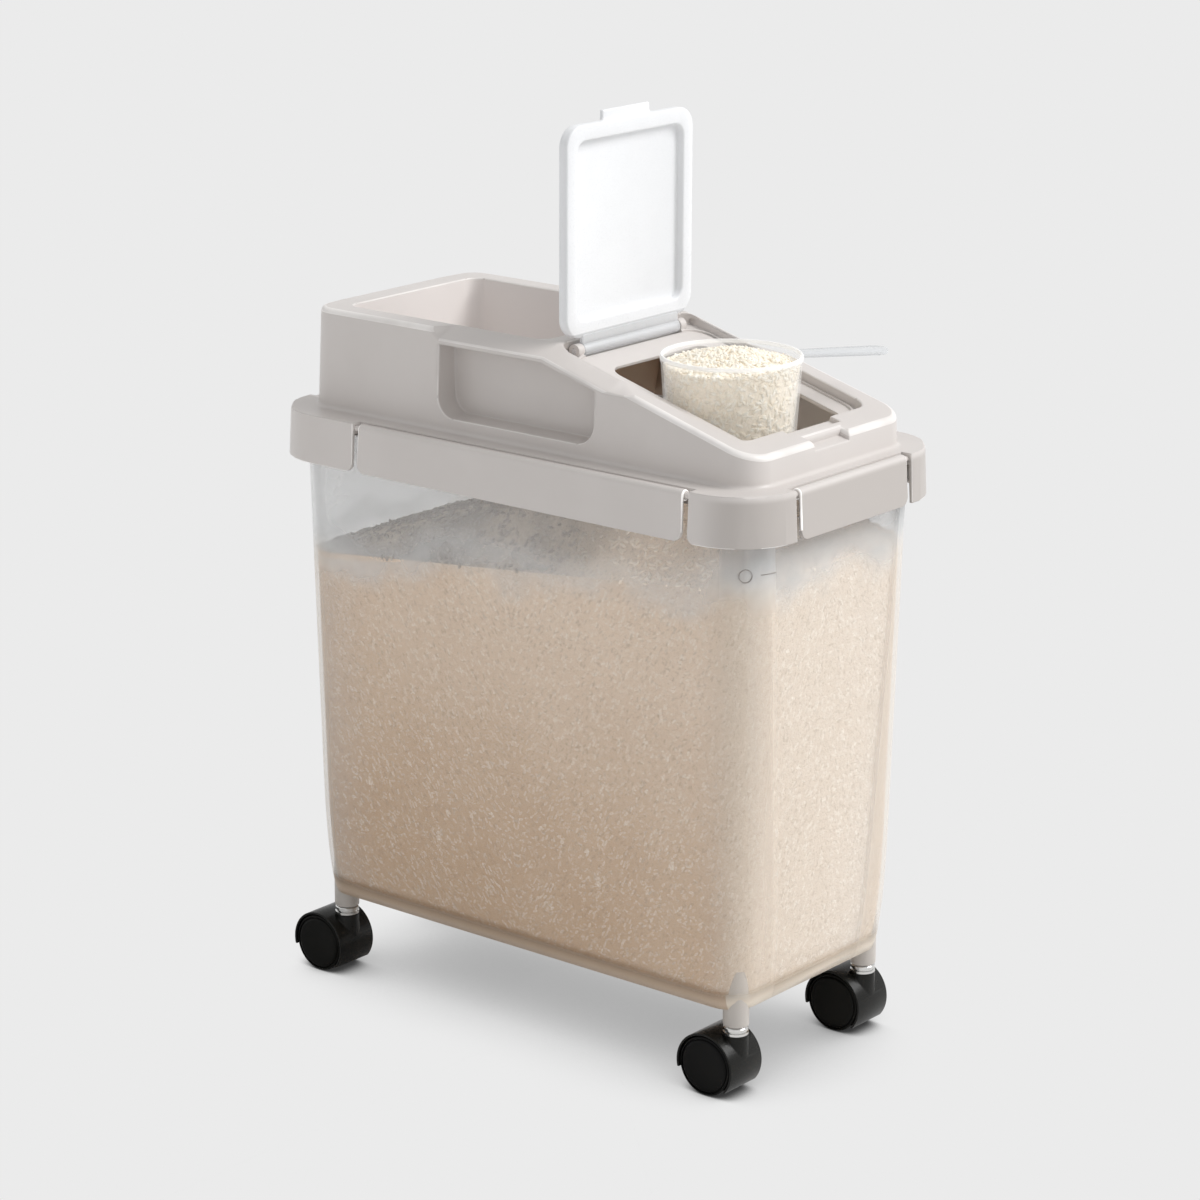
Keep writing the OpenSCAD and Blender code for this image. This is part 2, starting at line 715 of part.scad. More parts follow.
module lid_body() {
    difference() {
        union() {
            rim_ring();
            difference() {
                upper_outside(0);
                above_slope(0);
            }
            difference() {
                translate([0, 0, flange_z - rib_h]) round_block(rib_half_w, rib_half_l, rib_r, rib_h + 1);
                translate([0, 0, flange_z - rib_h - 1])
                    round_block(rib_half_w - lid_wall, rib_half_l - lid_wall, rib_r - lid_wall, rib_h + 1);
            }
        }
        difference() {
            upper_outside(lid_wall);
            above_slope(lid_wall);
            tray_space(lid_wall);
            for (side = [-1, 1]) {
                grip_space(side, lid_wall);
                bar_space(side);
            }
            on_deck() {
                deck_space(recess_w / 2 + lid_wall, 1 - lid_wall, recess_end + lid_wall,
                           recess_r + lid_wall, -recess_depth - lid_wall, upper_h);
                tab_notch(lid_wall);
                finger_notch(lid_wall);
                hinge_groove(lid_wall);
            }
        }
        tray_space(0);
        for (side = [-1, 1]) {
            grip_space(side, 0);
            grip_bar_cut(side);
        }
        on_deck() {
            flap_recess();
            mouth_opening();
            tab_notch(0);
            finger_notch(0);
            hinge_groove(0);
        }
        at_left() clip_window(long_clip_l);
        at_right() clip_window(long_clip_l);
        at_front() clip_window(short_clip_l);
        at_rear() clip_window(short_clip_l);
    }
}

module lid_shell() {
    color([0.78, 0.76, 0.74]) difference() {
        union() {
            lid_body();
            on_deck() {
                hinge_ears();
                seat_bead();
            }
            at_left() clip_blocks(long_clip_l);
            at_right() clip_blocks(long_clip_l);
            at_front() clip_blocks(short_clip_l);
            at_rear() clip_blocks(short_clip_l);
        }
        on_deck() translate([-recess_w / 2, -hinge_in, -hinge_down]) rotate([0, 90, 0])
            cylinder(d = hinge_pin_d, h = recess_w);
        at_left() clip_bores(long_clip_l);
        at_right() clip_bores(long_clip_l);
        at_front() clip_bores(short_clip_l);
        at_rear() clip_bores(short_clip_l);
    }
}

module lid_seal() {
    half_w = rib_half_w + seal_w + rib_gap;
    half_l = rib_half_l + seal_w + rib_gap;
    r = rib_r + seal_w + rib_gap;
    color([0.9, 0.9, 0.9]) translate([0, 0, flange_z - seal_t]) difference() {
        round_block(half_w, half_l, r, seal_t);
        translate([0, 0, -1]) round_block(half_w - seal_w, half_l - seal_w, r - seal_w, seal_t + 2);
    }
}

// ---- clips ----

// A clip on the left side: its outer face looks to -X and its hinge runs along Y
module clip(len) {
    depth = clip_axis_z - skirt_z;
    color([0.78, 0.76, 0.74]) {
        translate([clip_axis_in, -len / 2, clip_axis_z]) rotate([-90, 0, 0]) cylinder(r = clip_barrel_r, h = len);
        for (end = [-1, 1]) {
            y = end > 0 ? len / 2 - 1 : -len / 2 - clip_gap - clip_pin_l;
            translate([clip_axis_in, y, clip_axis_z]) rotate([-90, 0, 0])
                cylinder(d = clip_pin_d, h = clip_gap + clip_pin_l + 1);
        }
        intersection() {
            translate([0, len / 2, 0]) rotate([90, 0, 0]) linear_extrude(height = len)
                polygon([[0, clip_axis_z], [-skirt_flare, skirt_z], [clip_t - skirt_flare, skirt_z],
                         [clip_t, clip_axis_z]]);
            translate([-skirt_flare - 1, 0, skirt_z]) {
                translate([0, -len / 2, clip_r]) cube([window_in, len, depth]);
                translate([0, -len / 2 + clip_r, 0]) cube([window_in, len - 2 * clip_r, depth]);
                for (end = [-1, 1]) {
                    translate([0, end * (len / 2 - clip_r), clip_r]) rotate([0, 90, 0])
                        cylinder(r = clip_r, h = window_in);
                }
            }
        }
        snap_l = len * snap_share;
        inner = clip_t - skirt_flare * (clip_axis_z - snap_z) / depth;
        reach = lid_wall + skirt_gap - near_gap;
        translate([0, snap_l / 2, 0]) rotate([90, 0, 0]) linear_extrude(height = snap_l)
            polygon([[inner - clip_t / 2, snap_z], [reach - 1, snap_z], [reach, snap_z + snap_h],
                     [inner - clip_t / 2, snap_z + snap_h]]);
    }
}

module clip_left() {
    at_left() clip(long_clip_l);
}

module clip_right() {
    at_right() clip(long_clip_l);
}

module clip_front() {
    at_front() clip(short_clip_l);
}

module clip_rear() {
    at_rear() clip(short_clip_l);
}

// ---- flap ----

// The flap standing open, in a frame whose origin is the hinge axis
module flap_open() {
    half = flap_w / 2;
    back = flap_top;
    front = -flap_under;
    difference() {
        union() {
            rotate([90, 0, 0]) translate([0, flap_gap + flap_l / 2, -back])
                round_block(half, flap_l / 2, flap_r, flap_t);
            translate([-tab_w / 2, back - tab_t, flap_gap + flap_l - 1]) cube([tab_w, tab_t, tab_l + 1]);
            translate([-leaf_w / 2, front + flap_under - flap_panel_t, 0])
                cube([leaf_w, flap_panel_t + 1, flap_gap + 2]);
            translate([-leaf_w / 2, 0, 0]) rotate([0, 90, 0]) cylinder(r = barrel_r, h = leaf_w);
        }
        rotate([90, 0, 0]) translate([0, flap_gap + flap_l / 2, flap_panel_t - back])
            round_block(half - flap_frame_w, flap_l / 2 - flap_frame_w, flap_r - flap_frame_w / 2, flap_t);
        translate([-leaf_w, 0, 0]) rotate([0, 90, 0]) cylinder(d = hinge_pin_d + 2 * run_gap, h = 2 * leaf_w);
    }
}

module flap() {
    color([0.95, 0.96, 0.97, 0.6]) translate([0, hinge_y, hinge_z]) flap_open();
}

module flap_hinge_pin() {
    len = leaf_w + 2 * (near_gap + ear_w);
    color([0.8, 0.8, 0.82]) translate([-len / 2, hinge_y, hinge_z]) rotate([0, 90, 0])
        cylinder(d = hinge_pin_d, h = len);
}

// ---- scoop ----

module scoop() {
    r = scoop_d / 2;
    base_r = scoop_base_d / 2;
    color([0.95, 0.97, 0.98, 0.4]) translate([0, scoop_y, scoop_z]) {
        rotate_extrude($fn = 96) polygon([[0, 0], [base_r - 2, 0], [base_r, 2], [r, scoop_h],
            [r - scoop_wall, scoop_h], [base_r - scoop_wall, scoop_wall + 1], [0, scoop_wall + 1]]);
        difference() {
            rotate([0, 0, handle_turn]) translate([0, 0, scoop_h - handle_t]) linear_extrude(height = handle_t) {
                polygon([[r - scoop_wall - 1, -handle_root_w / 2], [r + handle_l - handle_w / 2, -handle_w / 2],
                         [r + handle_l - handle_w / 2, handle_w / 2], [r - scoop_wall - 1, handle_root_w / 2]]);
                translate([r + handle_l - handle_w / 2, 0]) circle(d = handle_w);
            }
            translate([0, 0, -1]) cylinder(r = r - scoop_wall, h = scoop_h + 2);
        }
    }
}

module scoop_rice() {
    top_r = scoop_d / 2 - scoop_wall - rice_gap;
    low_r = scoop_base_d / 2 - scoop_wall - rice_gap - 1;
    low = scoop_wall + 1 + rice_gap;
    rim = scoop_h - scoop_rice_drop;
    rim_r = low_r + (top_r - low_r) * (rim - low) / (scoop_h - low);
    crown = scoop_heap + scoop_rice_drop;
    dome_r = (rim_r * rim_r + crown * crown) / (2 * crown);
    color([0.95, 0.92, 0.84]) translate([0, scoop_y, scoop_z]) {
        rotate_extrude($fn = 96) polygon([[0, low], [low_r, low], [rim_r, rim], [0, rim]]);
        intersection() {
            translate([0, 0, rim + crown - dome_r]) sphere(r = dome_r, $fn = 96);
            translate([0, 0, rim - 0.5]) cylinder(r = rim_r - 0.1, h = crown + 1);
        }
    }
}

// ---- assembly ----

bin_tub();
caster_sleeves();
rice_fill();
lid_shell();
lid_seal();
clip_front();
clip_rear();
clip_left();
clip_right();
flap();
flap_hinge_pin();
scoop();
scoop_rice();
at_caster(-1, -1) caster_stem();  // stem_front_left
at_caster(-1, -1) caster_hood();  // hood_front_left
at_caster(-1, -1) caster_axle();  // axle_front_left
at_caster(-1, -1) caster_wheel(-1);  // wheel_outer_front_left
at_caster(-1, -1) caster_wheel(1);  // wheel_inner_front_left
at_caster(1, -1) caster_stem();  // stem_front_right
at_caster(1, -1) caster_hood();  // hood_front_right
at_caster(1, -1) caster_axle();  // axle_front_right
at_caster(1, -1) caster_wheel(1);  // wheel_outer_front_right
at_caster(1, -1) caster_wheel(-1);  // wheel_inner_front_right
at_caster(-1, 1) caster_stem();  // stem_rear_left
at_caster(-1, 1) caster_hood();  // hood_rear_left
at_caster(-1, 1) caster_axle();  // axle_rear_left
at_caster(-1, 1) caster_wheel(-1);  // wheel_outer_rear_left
at_caster(-1, 1) caster_wheel(1);  // wheel_inner_rear_left
at_caster(1, 1) caster_stem();  // stem_rear_right
at_caster(1, 1) caster_hood();  // hood_rear_right
at_caster(1, 1) caster_axle();  // axle_rear_right
at_caster(1, 1) caster_wheel(1);  // wheel_outer_rear_right
at_caster(1, 1) caster_wheel(-1);  // wheel_inner_rear_right
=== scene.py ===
"""Looks of a rice bin on casters, with a clip-down lid, a flip flap and a scoop.

Each sub-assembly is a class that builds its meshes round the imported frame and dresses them.
Sizes are in millimetres and are scaled to metres when a piece is finished.
"""

import logging
import math
import random
from dataclasses import dataclass, field
from enum import Enum
from functools import cached_property
from typing import Callable, Iterable, Sequence

import bmesh
import bpy
from mathutils import Matrix, Vector, noise


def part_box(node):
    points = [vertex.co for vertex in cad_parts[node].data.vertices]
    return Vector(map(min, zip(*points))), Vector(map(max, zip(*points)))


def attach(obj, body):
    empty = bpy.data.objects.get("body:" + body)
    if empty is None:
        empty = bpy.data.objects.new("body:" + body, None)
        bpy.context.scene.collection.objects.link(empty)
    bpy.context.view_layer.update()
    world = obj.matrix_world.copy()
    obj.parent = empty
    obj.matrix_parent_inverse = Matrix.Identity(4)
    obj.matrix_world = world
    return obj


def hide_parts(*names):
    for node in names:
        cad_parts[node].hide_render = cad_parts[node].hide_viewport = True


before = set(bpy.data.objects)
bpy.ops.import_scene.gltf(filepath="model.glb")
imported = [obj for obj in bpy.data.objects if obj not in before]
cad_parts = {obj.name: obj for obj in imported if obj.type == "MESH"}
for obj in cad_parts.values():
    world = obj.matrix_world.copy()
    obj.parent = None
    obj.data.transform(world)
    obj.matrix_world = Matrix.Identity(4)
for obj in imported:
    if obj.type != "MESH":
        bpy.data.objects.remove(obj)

log = logging.getLogger("rice_bin")

MM = 0.001
SEED = 7
CORNER_STEPS = 12
# Caster stems, to either side of the middle.
CASTER_X = 66.0
CASTER_Y = 160.0
PLASTIC_IOR = 1.49
# Paler colour painted along rounded outer edges: a painted highlight.
EDGE_HIGHLIGHT = (0.95, 0.93, 0.91)
WHITE = (1.0, 1.0, 1.0, 1.0)
# Face attribute that marks rounded outer edges with the strength of their painted highlight.
EDGE_LAYER = "edge_highlight"
# Angles past which an edge stays sharp: spun and lofted shapes, and grains.
SPUN_SHARP = 50.0
ALL_SMOOTH = 180.0

Colour = tuple[float, float, float]
Socket = bpy.types.NodeSocket
Mesh = bmesh.types.BMesh
Edge = bmesh.types.BMEdge
Face = bmesh.types.BMFace


class Side(Enum):
    """Side of the bin across its width."""

    LEFT = -1
    RIGHT = 1


class End(Enum):
    """End of the bin along its length."""

    FRONT = -1
    REAR = 1


@dataclass(frozen=True)
class FrontPanel:
    """Raised middle of the tub's front wall, whose sides slant in towards the foot."""

    half_w: float = 60.7
    at_z: float = 314.0
    slope: float = 0.07
    step: float = 0.5


@dataclass(frozen=True)
class Zone:
    """Where a tone shows along one axis: it rises or fades between two places."""

    axis: str
    low: float
    high: float
    rises: bool = True
    both_sides: bool = False


PANEL = FrontPanel()
# Front of the hanging rim, which is painted darker: painted shade.
RIM_FRONT = (Zone("Z", 376.0, 380.0, rises=False), Zone("Y", -174.0, -150.0, rises=False))
# Walls and floor of the tray, which are painted lighter: painted light.
TRAY_INSIDE = (Zone("X", 60.5, 61.2, rises=False, both_sides=True), Zone("Y", -6.2, -5.5),
               Zone("Z", 442.5, 443.5, rises=False))
# Cut along the grip bars, and the middle and half length of the blunt ramps at its ends.
BAR_SIDES = (Zone("X", 58.0, 62.0, both_sides=True), Zone("Z", 408.0, 416.0))
BAR_RAMPS = ((-52.0, 24.0), (66.0, 16.0))
BAR_BLUNT = 3.0


# ---- materials ----


class Bench:
    """A material's nodes, with short calls for what the finishes share."""

    def __init__(self, name: str, colour: Colour, roughness: float) -> None:
        """Starts a plain material.

        Args:
            name: name of the material.
            colour: base colour, in linear light.
            roughness: roughness of the whole surface.
        """
        self.material = bpy.data.materials.new(name)
        self.material.use_nodes = True
        self.nodes = self.material.node_tree.nodes
        self.links = self.material.node_tree.links
        self.shader = self.nodes["Principled BSDF"]
        self.drive("Base Color", (*colour, 1.0))
        self.drive("Roughness", roughness)
        self.place = self.add("TexCoord").outputs["Object"]

    def add(self, kind: str, inputs: dict | None = None, **settings: object) -> bpy.types.Node:
        """Adds a node.

        Args:
            kind: kind of shader node, without its prefix.
            inputs: a plain value or a socket for each input that isn't left alone.
            settings: properties of the node.

        Returns:
            The node.
        """
        node = self.nodes.new(f"ShaderNode{kind}")
        for key, value in settings.items():
            setattr(node, key, value)
        for key, value in (inputs or {}).items():
            self.feed(node, key, value)
        return node

    def feed(self, node: bpy.types.Node, socket: str | int, value: object) -> None:
        """Links another node's output to an input, or sets a plain value there.

        Args:
            node: node to feed.
            socket: name or number of its input.
            value: a socket or a plain value.
        """
        if isinstance(value, Socket):
            self.links.new(value, node.inputs[socket])
        else:
            node.inputs[socket].default_value = value

    def drive(self, socket: str, value: object) -> None:
        """Feeds one input of the shader."""
        self.feed(self.shader, socket, value)

    def glow(self, colour: object, strength: object) -> None:
        """Paints a faint glow, standing in for light that passes through plastic and rice."""
        self.drive("Emission Color", colour)
        self.drive("Emission Strength", strength)

    def calc(self, operation: str, *values: object) -> Socket:
        """Does one sum on sockets or plain numbers."""
        return self.add("Math", dict(enumerate(values)), operation=operation).outputs["Value"]

    def times(self, a: object, b: object) -> Socket:
        """Multiplies two values."""
        return self.calc("MULTIPLY", a, b)

    def total(self, a: object, b: object) -> Socket:
        """Adds two values."""
        return self.calc("ADD", a, b)

    def plus(self, value: object, factor: float, offset: object) -> Socket:
        """Multiplies a value by a factor and adds an offset."""
        return self.calc("MULTIPLY_ADD", value, factor, offset)

    def rest(self, value: object) -> Socket:
        """Takes a share from 1."""
        return self.plus(value, -1.0, 1.0)

    def remap(self, value: Socket, low: float, high: float, to_low: float, to_high: float
              ) -> Socket:
        """Maps a range smoothly on to another, with no overshoot.

        Args:
            value: value to map.
            low: start of its range.
            high: end of its range.
            to_low: what the start becomes.
            to_high: what the end becomes.

        Returns:
            The mapped value.
        """
        ends = {"From Min": low, "From Max": high, "To Min": to_low, "To Max": to_high}
        node = self.add("MapRange", {"Value": value, **ends}, interpolation_type="SMOOTHSTEP")
        return node.outputs["Result"]

    def ramp(self, value: Socket, start: float, end: float) -> Socket:
        """Rises from 0 at start to 1 at end, both in millimetres."""
        return self.remap(value, start * MM, end * MM, 0.0, 1.0)

    def fade(self, value: Socket, start: float, end: float) -> Socket:
        """Falls from 1 at start to 0 at end, both in millimetres."""
        return self.remap(value, start * MM, end * MM, 1.0, 0.0)

    def wander(self, pattern: Socket, to_low: float, to_high: float) -> Socket:
        """Spreads the usual values of a noise pattern over a range."""
        return self.remap(pattern, 0.3, 0.7, to_low, to_high)

    def satin(self, pattern: Socket, roughness: float) -> None:
        """Varies the roughness a little with a noise pattern."""
        self.drive("Roughness", self.wander(pattern, roughness - 0.04, roughness + 0.05))

    def cells(self, sizes: Sequence[float], turn: Sequence[float], place: Socket | None = None
              ) -> Socket:
        """Turns coordinates and divides them by sizes.

        Args:
            sizes: size of one unit of the pattern along each axis.
            turn: turn about each axis, in radians.
            place: coordinates, or None for the object's own.

        Returns:
            The pattern's coordinates.
        """
        inputs = {"Rotation": turn, "Scale": [s * MM for s in sizes], "Vector": place or self.place}
        return self.add("Mapping", inputs, vector_type="TEXTURE").outputs["Vector"]

    def noise(self, size: float, detail: float = 2.0, stretch: Sequence[float] = (1, 1, 1)
              ) -> Socket:
        """Adds a noise pattern.

        Args:
            size: size of its patches, in millimetres.
            detail: number of finer octaves.
            stretch: how many times longer the patches are along each axis.

        Returns:
            The pattern's value, from 0 to 1.
        """
        place = self.cells([size * s for s in stretch], (0, 0, 0))
        node = self.add("TexNoise", {"Scale": 1.0, "Detail": detail, "Vector": place})
        return node.outputs["Fac"]

    def axis(self, name: str) -> Socket:
        """Gives the place along one axis of the bin, in metres."""
        return self.add("SeparateXYZ", {"Vector": self.place}).outputs[name]

    def aside(self, name: str) -> Socket:
        """Gives the distance from the bin's middle along one axis, in metres."""
        return self.calc("ABSOLUTE", self.axis(name))

    def band(self, name: str, centre: float, half: float) -> Socket:
        """Gives 1 at a place along an axis and 0 past half to either side, in millimetres."""
        away = self.calc("ABSOLUTE", self.plus(self.axis(name), 1.0, -centre * MM))
        return self.fade(away, half * 0.6, half)

    def within(self, zones: Sequence[Zone]) -> Socket:
        """Gives how far a place lies inside every one of some zones.

        Args:
            zones: the zones.

        Returns:
            The product of their shares, from 0 to 1.
        """
        share = None
        for zone in zones:
            at = self.aside(zone.axis) if zone.both_sides else self.axis(zone.axis)
            one = (self.ramp if zone.rises else self.fade)(at, zone.low, zone.high)
            share = self.times(share, one) if share else one
        return share

    def facing(self, power: float) -> Socket:
        """Gives 0 where the surface faces the viewer and 1 where it is seen edge on."""
        weight = self.add("LayerWeight", {"Blend": 0.5})
        return self.calc("POWER", weight.outputs["Facing"], power)

    def blend(self, factor: object, a: object, b: object) -> Socket:
        """Mixes two colours.

        Args:
            factor: share of the second colour, a number or a socket.
            a: first colour, as three numbers or a socket.
            b: second colour, as three numbers or a socket.

        Returns:
            The mixed colour.
        """
        ends = [v if isinstance(v, Socket) else (*v, 1.0) for v in (a, b)]
        return self.add("Mix", {0: factor, 6: ends[0], 7: ends[1]}, data_type="RGBA").outputs[2]

    def relief(self, height: Socket, depth: float, strength: float = 1.0, edge: float = 0.0
               ) -> None:
        """Roughens the surface.

        Args:
            height: pattern of the relief, from 0 to 1.
            depth: depth of the relief, in millimetres.
            strength: share of the relief that shows.
            edge: radius by which edges look rounded, in millimetres.
        """
        inputs = {"Distance": depth * MM, "Strength": strength, "Height": height}
        if edge:
            ramps = self.total(*(self.band("Y", centre, half) for centre, half in BAR_RAMPS))
            blunt = self.times(self.within(BAR_SIDES), ramps)
            radius = self.plus(blunt, BAR_BLUNT * MM, edge * MM)
            inputs["Normal"] = self.add("Bevel", {"Radius": radius}, samples=6).outputs["Normal"]
        self.drive("Normal", self.add("Bump", inputs).outputs["Normal"])


@dataclass(frozen=True)
class MouldedPlastic:
    """Opaque moulded plastic with a fine satin grain and faint flow marks."""

    name: str
    colour: Colour
    shade: Colour
    roughness: float = 0.42
    specular: float = 0.5
    grain: float = 0.35
    grain_depth: float = 0.02
    flow: float = 60.0
    edge: float = 0.0
    # Painted highlight on marked outer edges: its strength, its glow and the size of its patches.
    edge_highlight: float = 0.0
    edge_glow: float = 0.12
    highlight_patch: float = 25.0
    # Painted shade on the rim's front and painted light in the tray, each a colour or None.
    low_front: Colour | None = None
    tray_painted_light: Colour | None = None

    def build(self) -> bpy.types.Material:
        """Builds the material.

        Returns:
            The material.
        """
        bench = Bench(self.name, self.colour, self.roughness)
        bench.drive("Specular IOR Level", self.specular)
        flow = bench.remap(bench.noise(self.flow, 3.0), 0.35, 0.65, 0.0, 1.0)
        colour = bench.blend(flow, self.colour, self.shade)
        # The tray is painted lighter (painted light) and the rim's front darker (painted shade).
        for zones, tone in ((TRAY_INSIDE, self.tray_painted_light), (RIM_FRONT, self.low_front)):
            if tone:
                colour = bench.blend(bench.within(zones), colour, tone)
        # Marked outer edges are painted paler and made to glow: a painted highlight.
        if self.edge_highlight:
            mark = bench.add("Attribute", attribute_name=EDGE_LAYER).outputs["Fac"]
            highlight_patch = bench.wander(bench.noise(self.highlight_patch), self.edge_highlight * 0.7, self.edge_highlight * 1.2)
            edges = bench.times(mark, highlight_patch)
            colour = bench.blend(edges, colour, EDGE_HIGHLIGHT)
            bench.glow(colour, bench.times(edges, self.edge_glow))
        bench.drive("Base Color", colour)
        grain = bench.noise(self.grain)
        bench.satin(grain, self.roughness)
        bench.relief(grain, self.grain_depth, 1.0, self.edge)
        return bench.material


@dataclass(frozen=True)
class FrostedWall:
    """Milky see-through wall: clearer against the rice, hazier at corners and bare parts.

    The rice meets the wall at rice_back and rice_front, and the haze changes along the bin at
    the places that end in _y. Opacities run from 0, clear, to 1, opaque. The bare part of the
    front wall is painted a darker grey, a painted shade, and the foot takes the rice's tone,
    darker round the sides and lighter on the front, as painted shade and light.
    """

    name: str = "frosted_wall"
    colour: Colour = (0.87, 0.88, 0.885)
    foot_colour: Colour = (0.57, 0.445, 0.335)
    foot_front_lit: Colour = (0.78, 0.69, 0.58)
    front_shade_colour: Colour = (0.66, 0.675, 0.685)
    corner_colour: Colour = (0.84, 0.77, 0.69)
    clear: float = 0.09
    milky: float = 0.17
    near_milky: float = 0.12
    front_milky: float = 0.27
    blur: float = 0.13
    rear: float = 0.10
    corner: float = 0.10
    stripe: float = 0.10
    edge: float = 0.30
    foot: float = 0.70
    rice_back: float = 287.0
    rice_front: float = 324.0
    half_length: float = 174.0
    wave: float = 30.0
    bare_from: float = -16.0
    bare_to: float = 12.0
    blur_full: float = 2.0
    blur_end: float = 24.0
    front_y: float = -160.0
    near_y: float = -80.0
    far_y: float = 20.0
    rear_y: tuple[float, float] = (110.0, 175.0)
    corner_y: tuple[float, float] = (138.0, 166.0)
    stripe_y: tuple[float, float] = (-171.5, -173.5)
    foot_z: tuple[float, float] = (59.0, 71.0)
    foot_tint: float = 0.12
    panel_soft: float = 0.4
    edge_power: float = 4.0
    wave_size: float = 60.0
    cloud_size: float = 50.0
    cloud: tuple[float, float] = (0.82, 1.2)
    patch_size: float = 30.0
    grain: float = 0.5
    satin: tuple[float, float] = (0.26, 0.36)
    ripple: float = 30.0
    ripple_depth: float = 0.25

    def _above_rice(self, bench: Bench) -> Socket:
        """Gives the height above the wavy line where the rice meets the wall.

        Args:
            bench: the material's nodes.

        Returns:
            The height, in metres.
        """
        slope = (self.rice_front - self.rice_back) / (2 * self.half_length)
        line = bench.plus(bench.axis("Y"), -slope, (self.rice_front + self.rice_back) / 2 * MM)
        wave = bench.plus(bench.noise(self.wave_size, 3.0), 2 * self.wave * MM, -self.wave * MM)
        return bench.total(bench.calc("SUBTRACT", bench.axis("Z"), line), wave)

    def _haze(self, bench: Bench, above: Socket, bare: Socket, front: Socket) -> Socket:
        """Gives the opacity of the plain wall.

        Args:
            bench: the material's nodes.
            above: height above the rice.
            bare: share of wall with no rice behind it.
            front: 1 on the front wall, 0 elsewhere.

        Returns:
            The opacity.
        """
        along = bench.axis("Y")
        most = bench.remap(along, self.near_y * MM, self.far_y * MM, self.near_milky, self.milky)
        most = bench.plus(front, self.front_milky - self.near_milky, most)
        cloud = bench.wander(bench.noise(self.cloud_size, 3.0), *self.cloud)
        haze = bench.times(bare, bench.times(bench.plus(most, 1.0, -self.clear), cloud))
        haze = bench.plus(haze, 1.0, self.clear)
        patch = bench.wander(bench.noise(self.patch_size, 3.0), self.blur * 0.7, self.blur * 1.2)
        level = bench.fade(bench.calc("ABSOLUTE", above), self.blur_full, self.blur_end)
        start, end = self.rear_y
        rear = bench.remap(along, start * MM, end * MM, 0.0, self.rear)
        return bench.total(bench.total(haze, bench.times(level, patch)), rear)

    def build(self) -> bpy.types.Material:
        """Builds the material.

        Returns:
            The material.
        """
        bench = Bench(self.name, self.colour, 0.3)
        bench.drive("IOR", PLASTIC_IOR)
        above = self._above_rice(bench)
        bare = bench.ramp(above, self.bare_from, self.bare_to)
        front = bench.calc("LESS_THAN", bench.axis("Y"), self.front_y * MM)
        haze = self._haze(bench, above, bare, front)
        panel = bench.plus(bench.axis("Z"), PANEL.slope,
                           (PANEL.half_w - PANEL.at_z * PANEL.slope) * MM)
        outside = bench.ramp(bench.calc("SUBTRACT", bench.aside("X"), panel),
                             -self.panel_soft, self.panel_soft)
        corner = bench.times(outside, bench.ramp(bench.aside("Y"), *self.corner_y))
        haze = bench.plus(corner, self.corner, haze)
        start, end = self.stripe_y
        stripe = bench.remap(bench.axis("Y"), start * MM, end * MM, 0.0, self.stripe)
        haze = bench.total(haze, bench.times(outside, stripe))
        foot = bench.fade(bench.axis("Z"), *self.foot_z)
        rim = bench.times(bench.times(bench.facing(self.edge_power), self.edge), bench.rest(foot))
        opacity = bench.total(bench.total(haze, rim), bench.times(foot, self.foot))
        bench.drive("Alpha", bench.calc("MINIMUM", opacity, 1.0))
        # The bare front wall is painted darker grey: painted shade.
        colour = bench.blend(bench.times(front, bare), self.colour, self.front_shade_colour)
        colour = bench.blend(bench.times(corner, bench.rest(bare)), colour, self.corner_colour)
        # The foot takes the rice's tone: darker round the sides and lighter on the front, painted
        # shade and light.
        low = bench.blend(front, self.foot_colour, self.foot_front_lit)
        tint = bench.remap(foot, 0.0, self.foot_tint, 0.0, 1.0)
        bench.drive("Base Color", bench.blend(tint, colour, low))
        bench.drive("Roughness", bench.wander(bench.noise(self.grain), *self.satin))
        bench.relief(bench.noise(self.ripple, 1.0), self.ripple_depth, 0.6)
        return bench.material


@dataclass(frozen=True)
class ClearPlastic:
    """See-through plastic that turns whiter at its edges."""

    name: str
    colour: Colour
    body: float
    edge: float
    power: float
    roughness: float
    glow: float = 0.0
    rim_z: float = 0.0
    rim_body: float = 0.0
    rim_soft: float = 0.8
    cloud: float = 30.0
    grain: float = 0.6
    ripple: float = 9.0
    ripple_depth: float = 0.06

    def build(self) -> bpy.types.Material:
        """Builds the material.

        Returns:
            The material.
        """
        bench = Bench(self.name, self.colour, self.roughness)
        bench.drive("IOR", PLASTIC_IOR)
        # A painted glow, standing in for light through the plastic.
        if self.glow:
            bench.glow(WHITE, self.glow)
        rim = bench.times(bench.facing(self.power), self.edge)
        body = bench.wander(bench.noise(self.cloud), self.body * 0.97, self.body * 1.03)
        if self.rim_body:
            low, high = self.rim_z - self.rim_soft, self.rim_z + self.rim_soft
            body = bench.plus(bench.ramp(bench.axis("Z"), low, high), self.rim_body, body)
        bench.drive("Alpha", bench.calc("MINIMUM", bench.total(body, rim), 1.0))
        bench.satin(bench.noise(self.grain), self.roughness)
        bench.relief(bench.noise(self.ripple), self.ripple_depth, 0.5)
        return bench.material


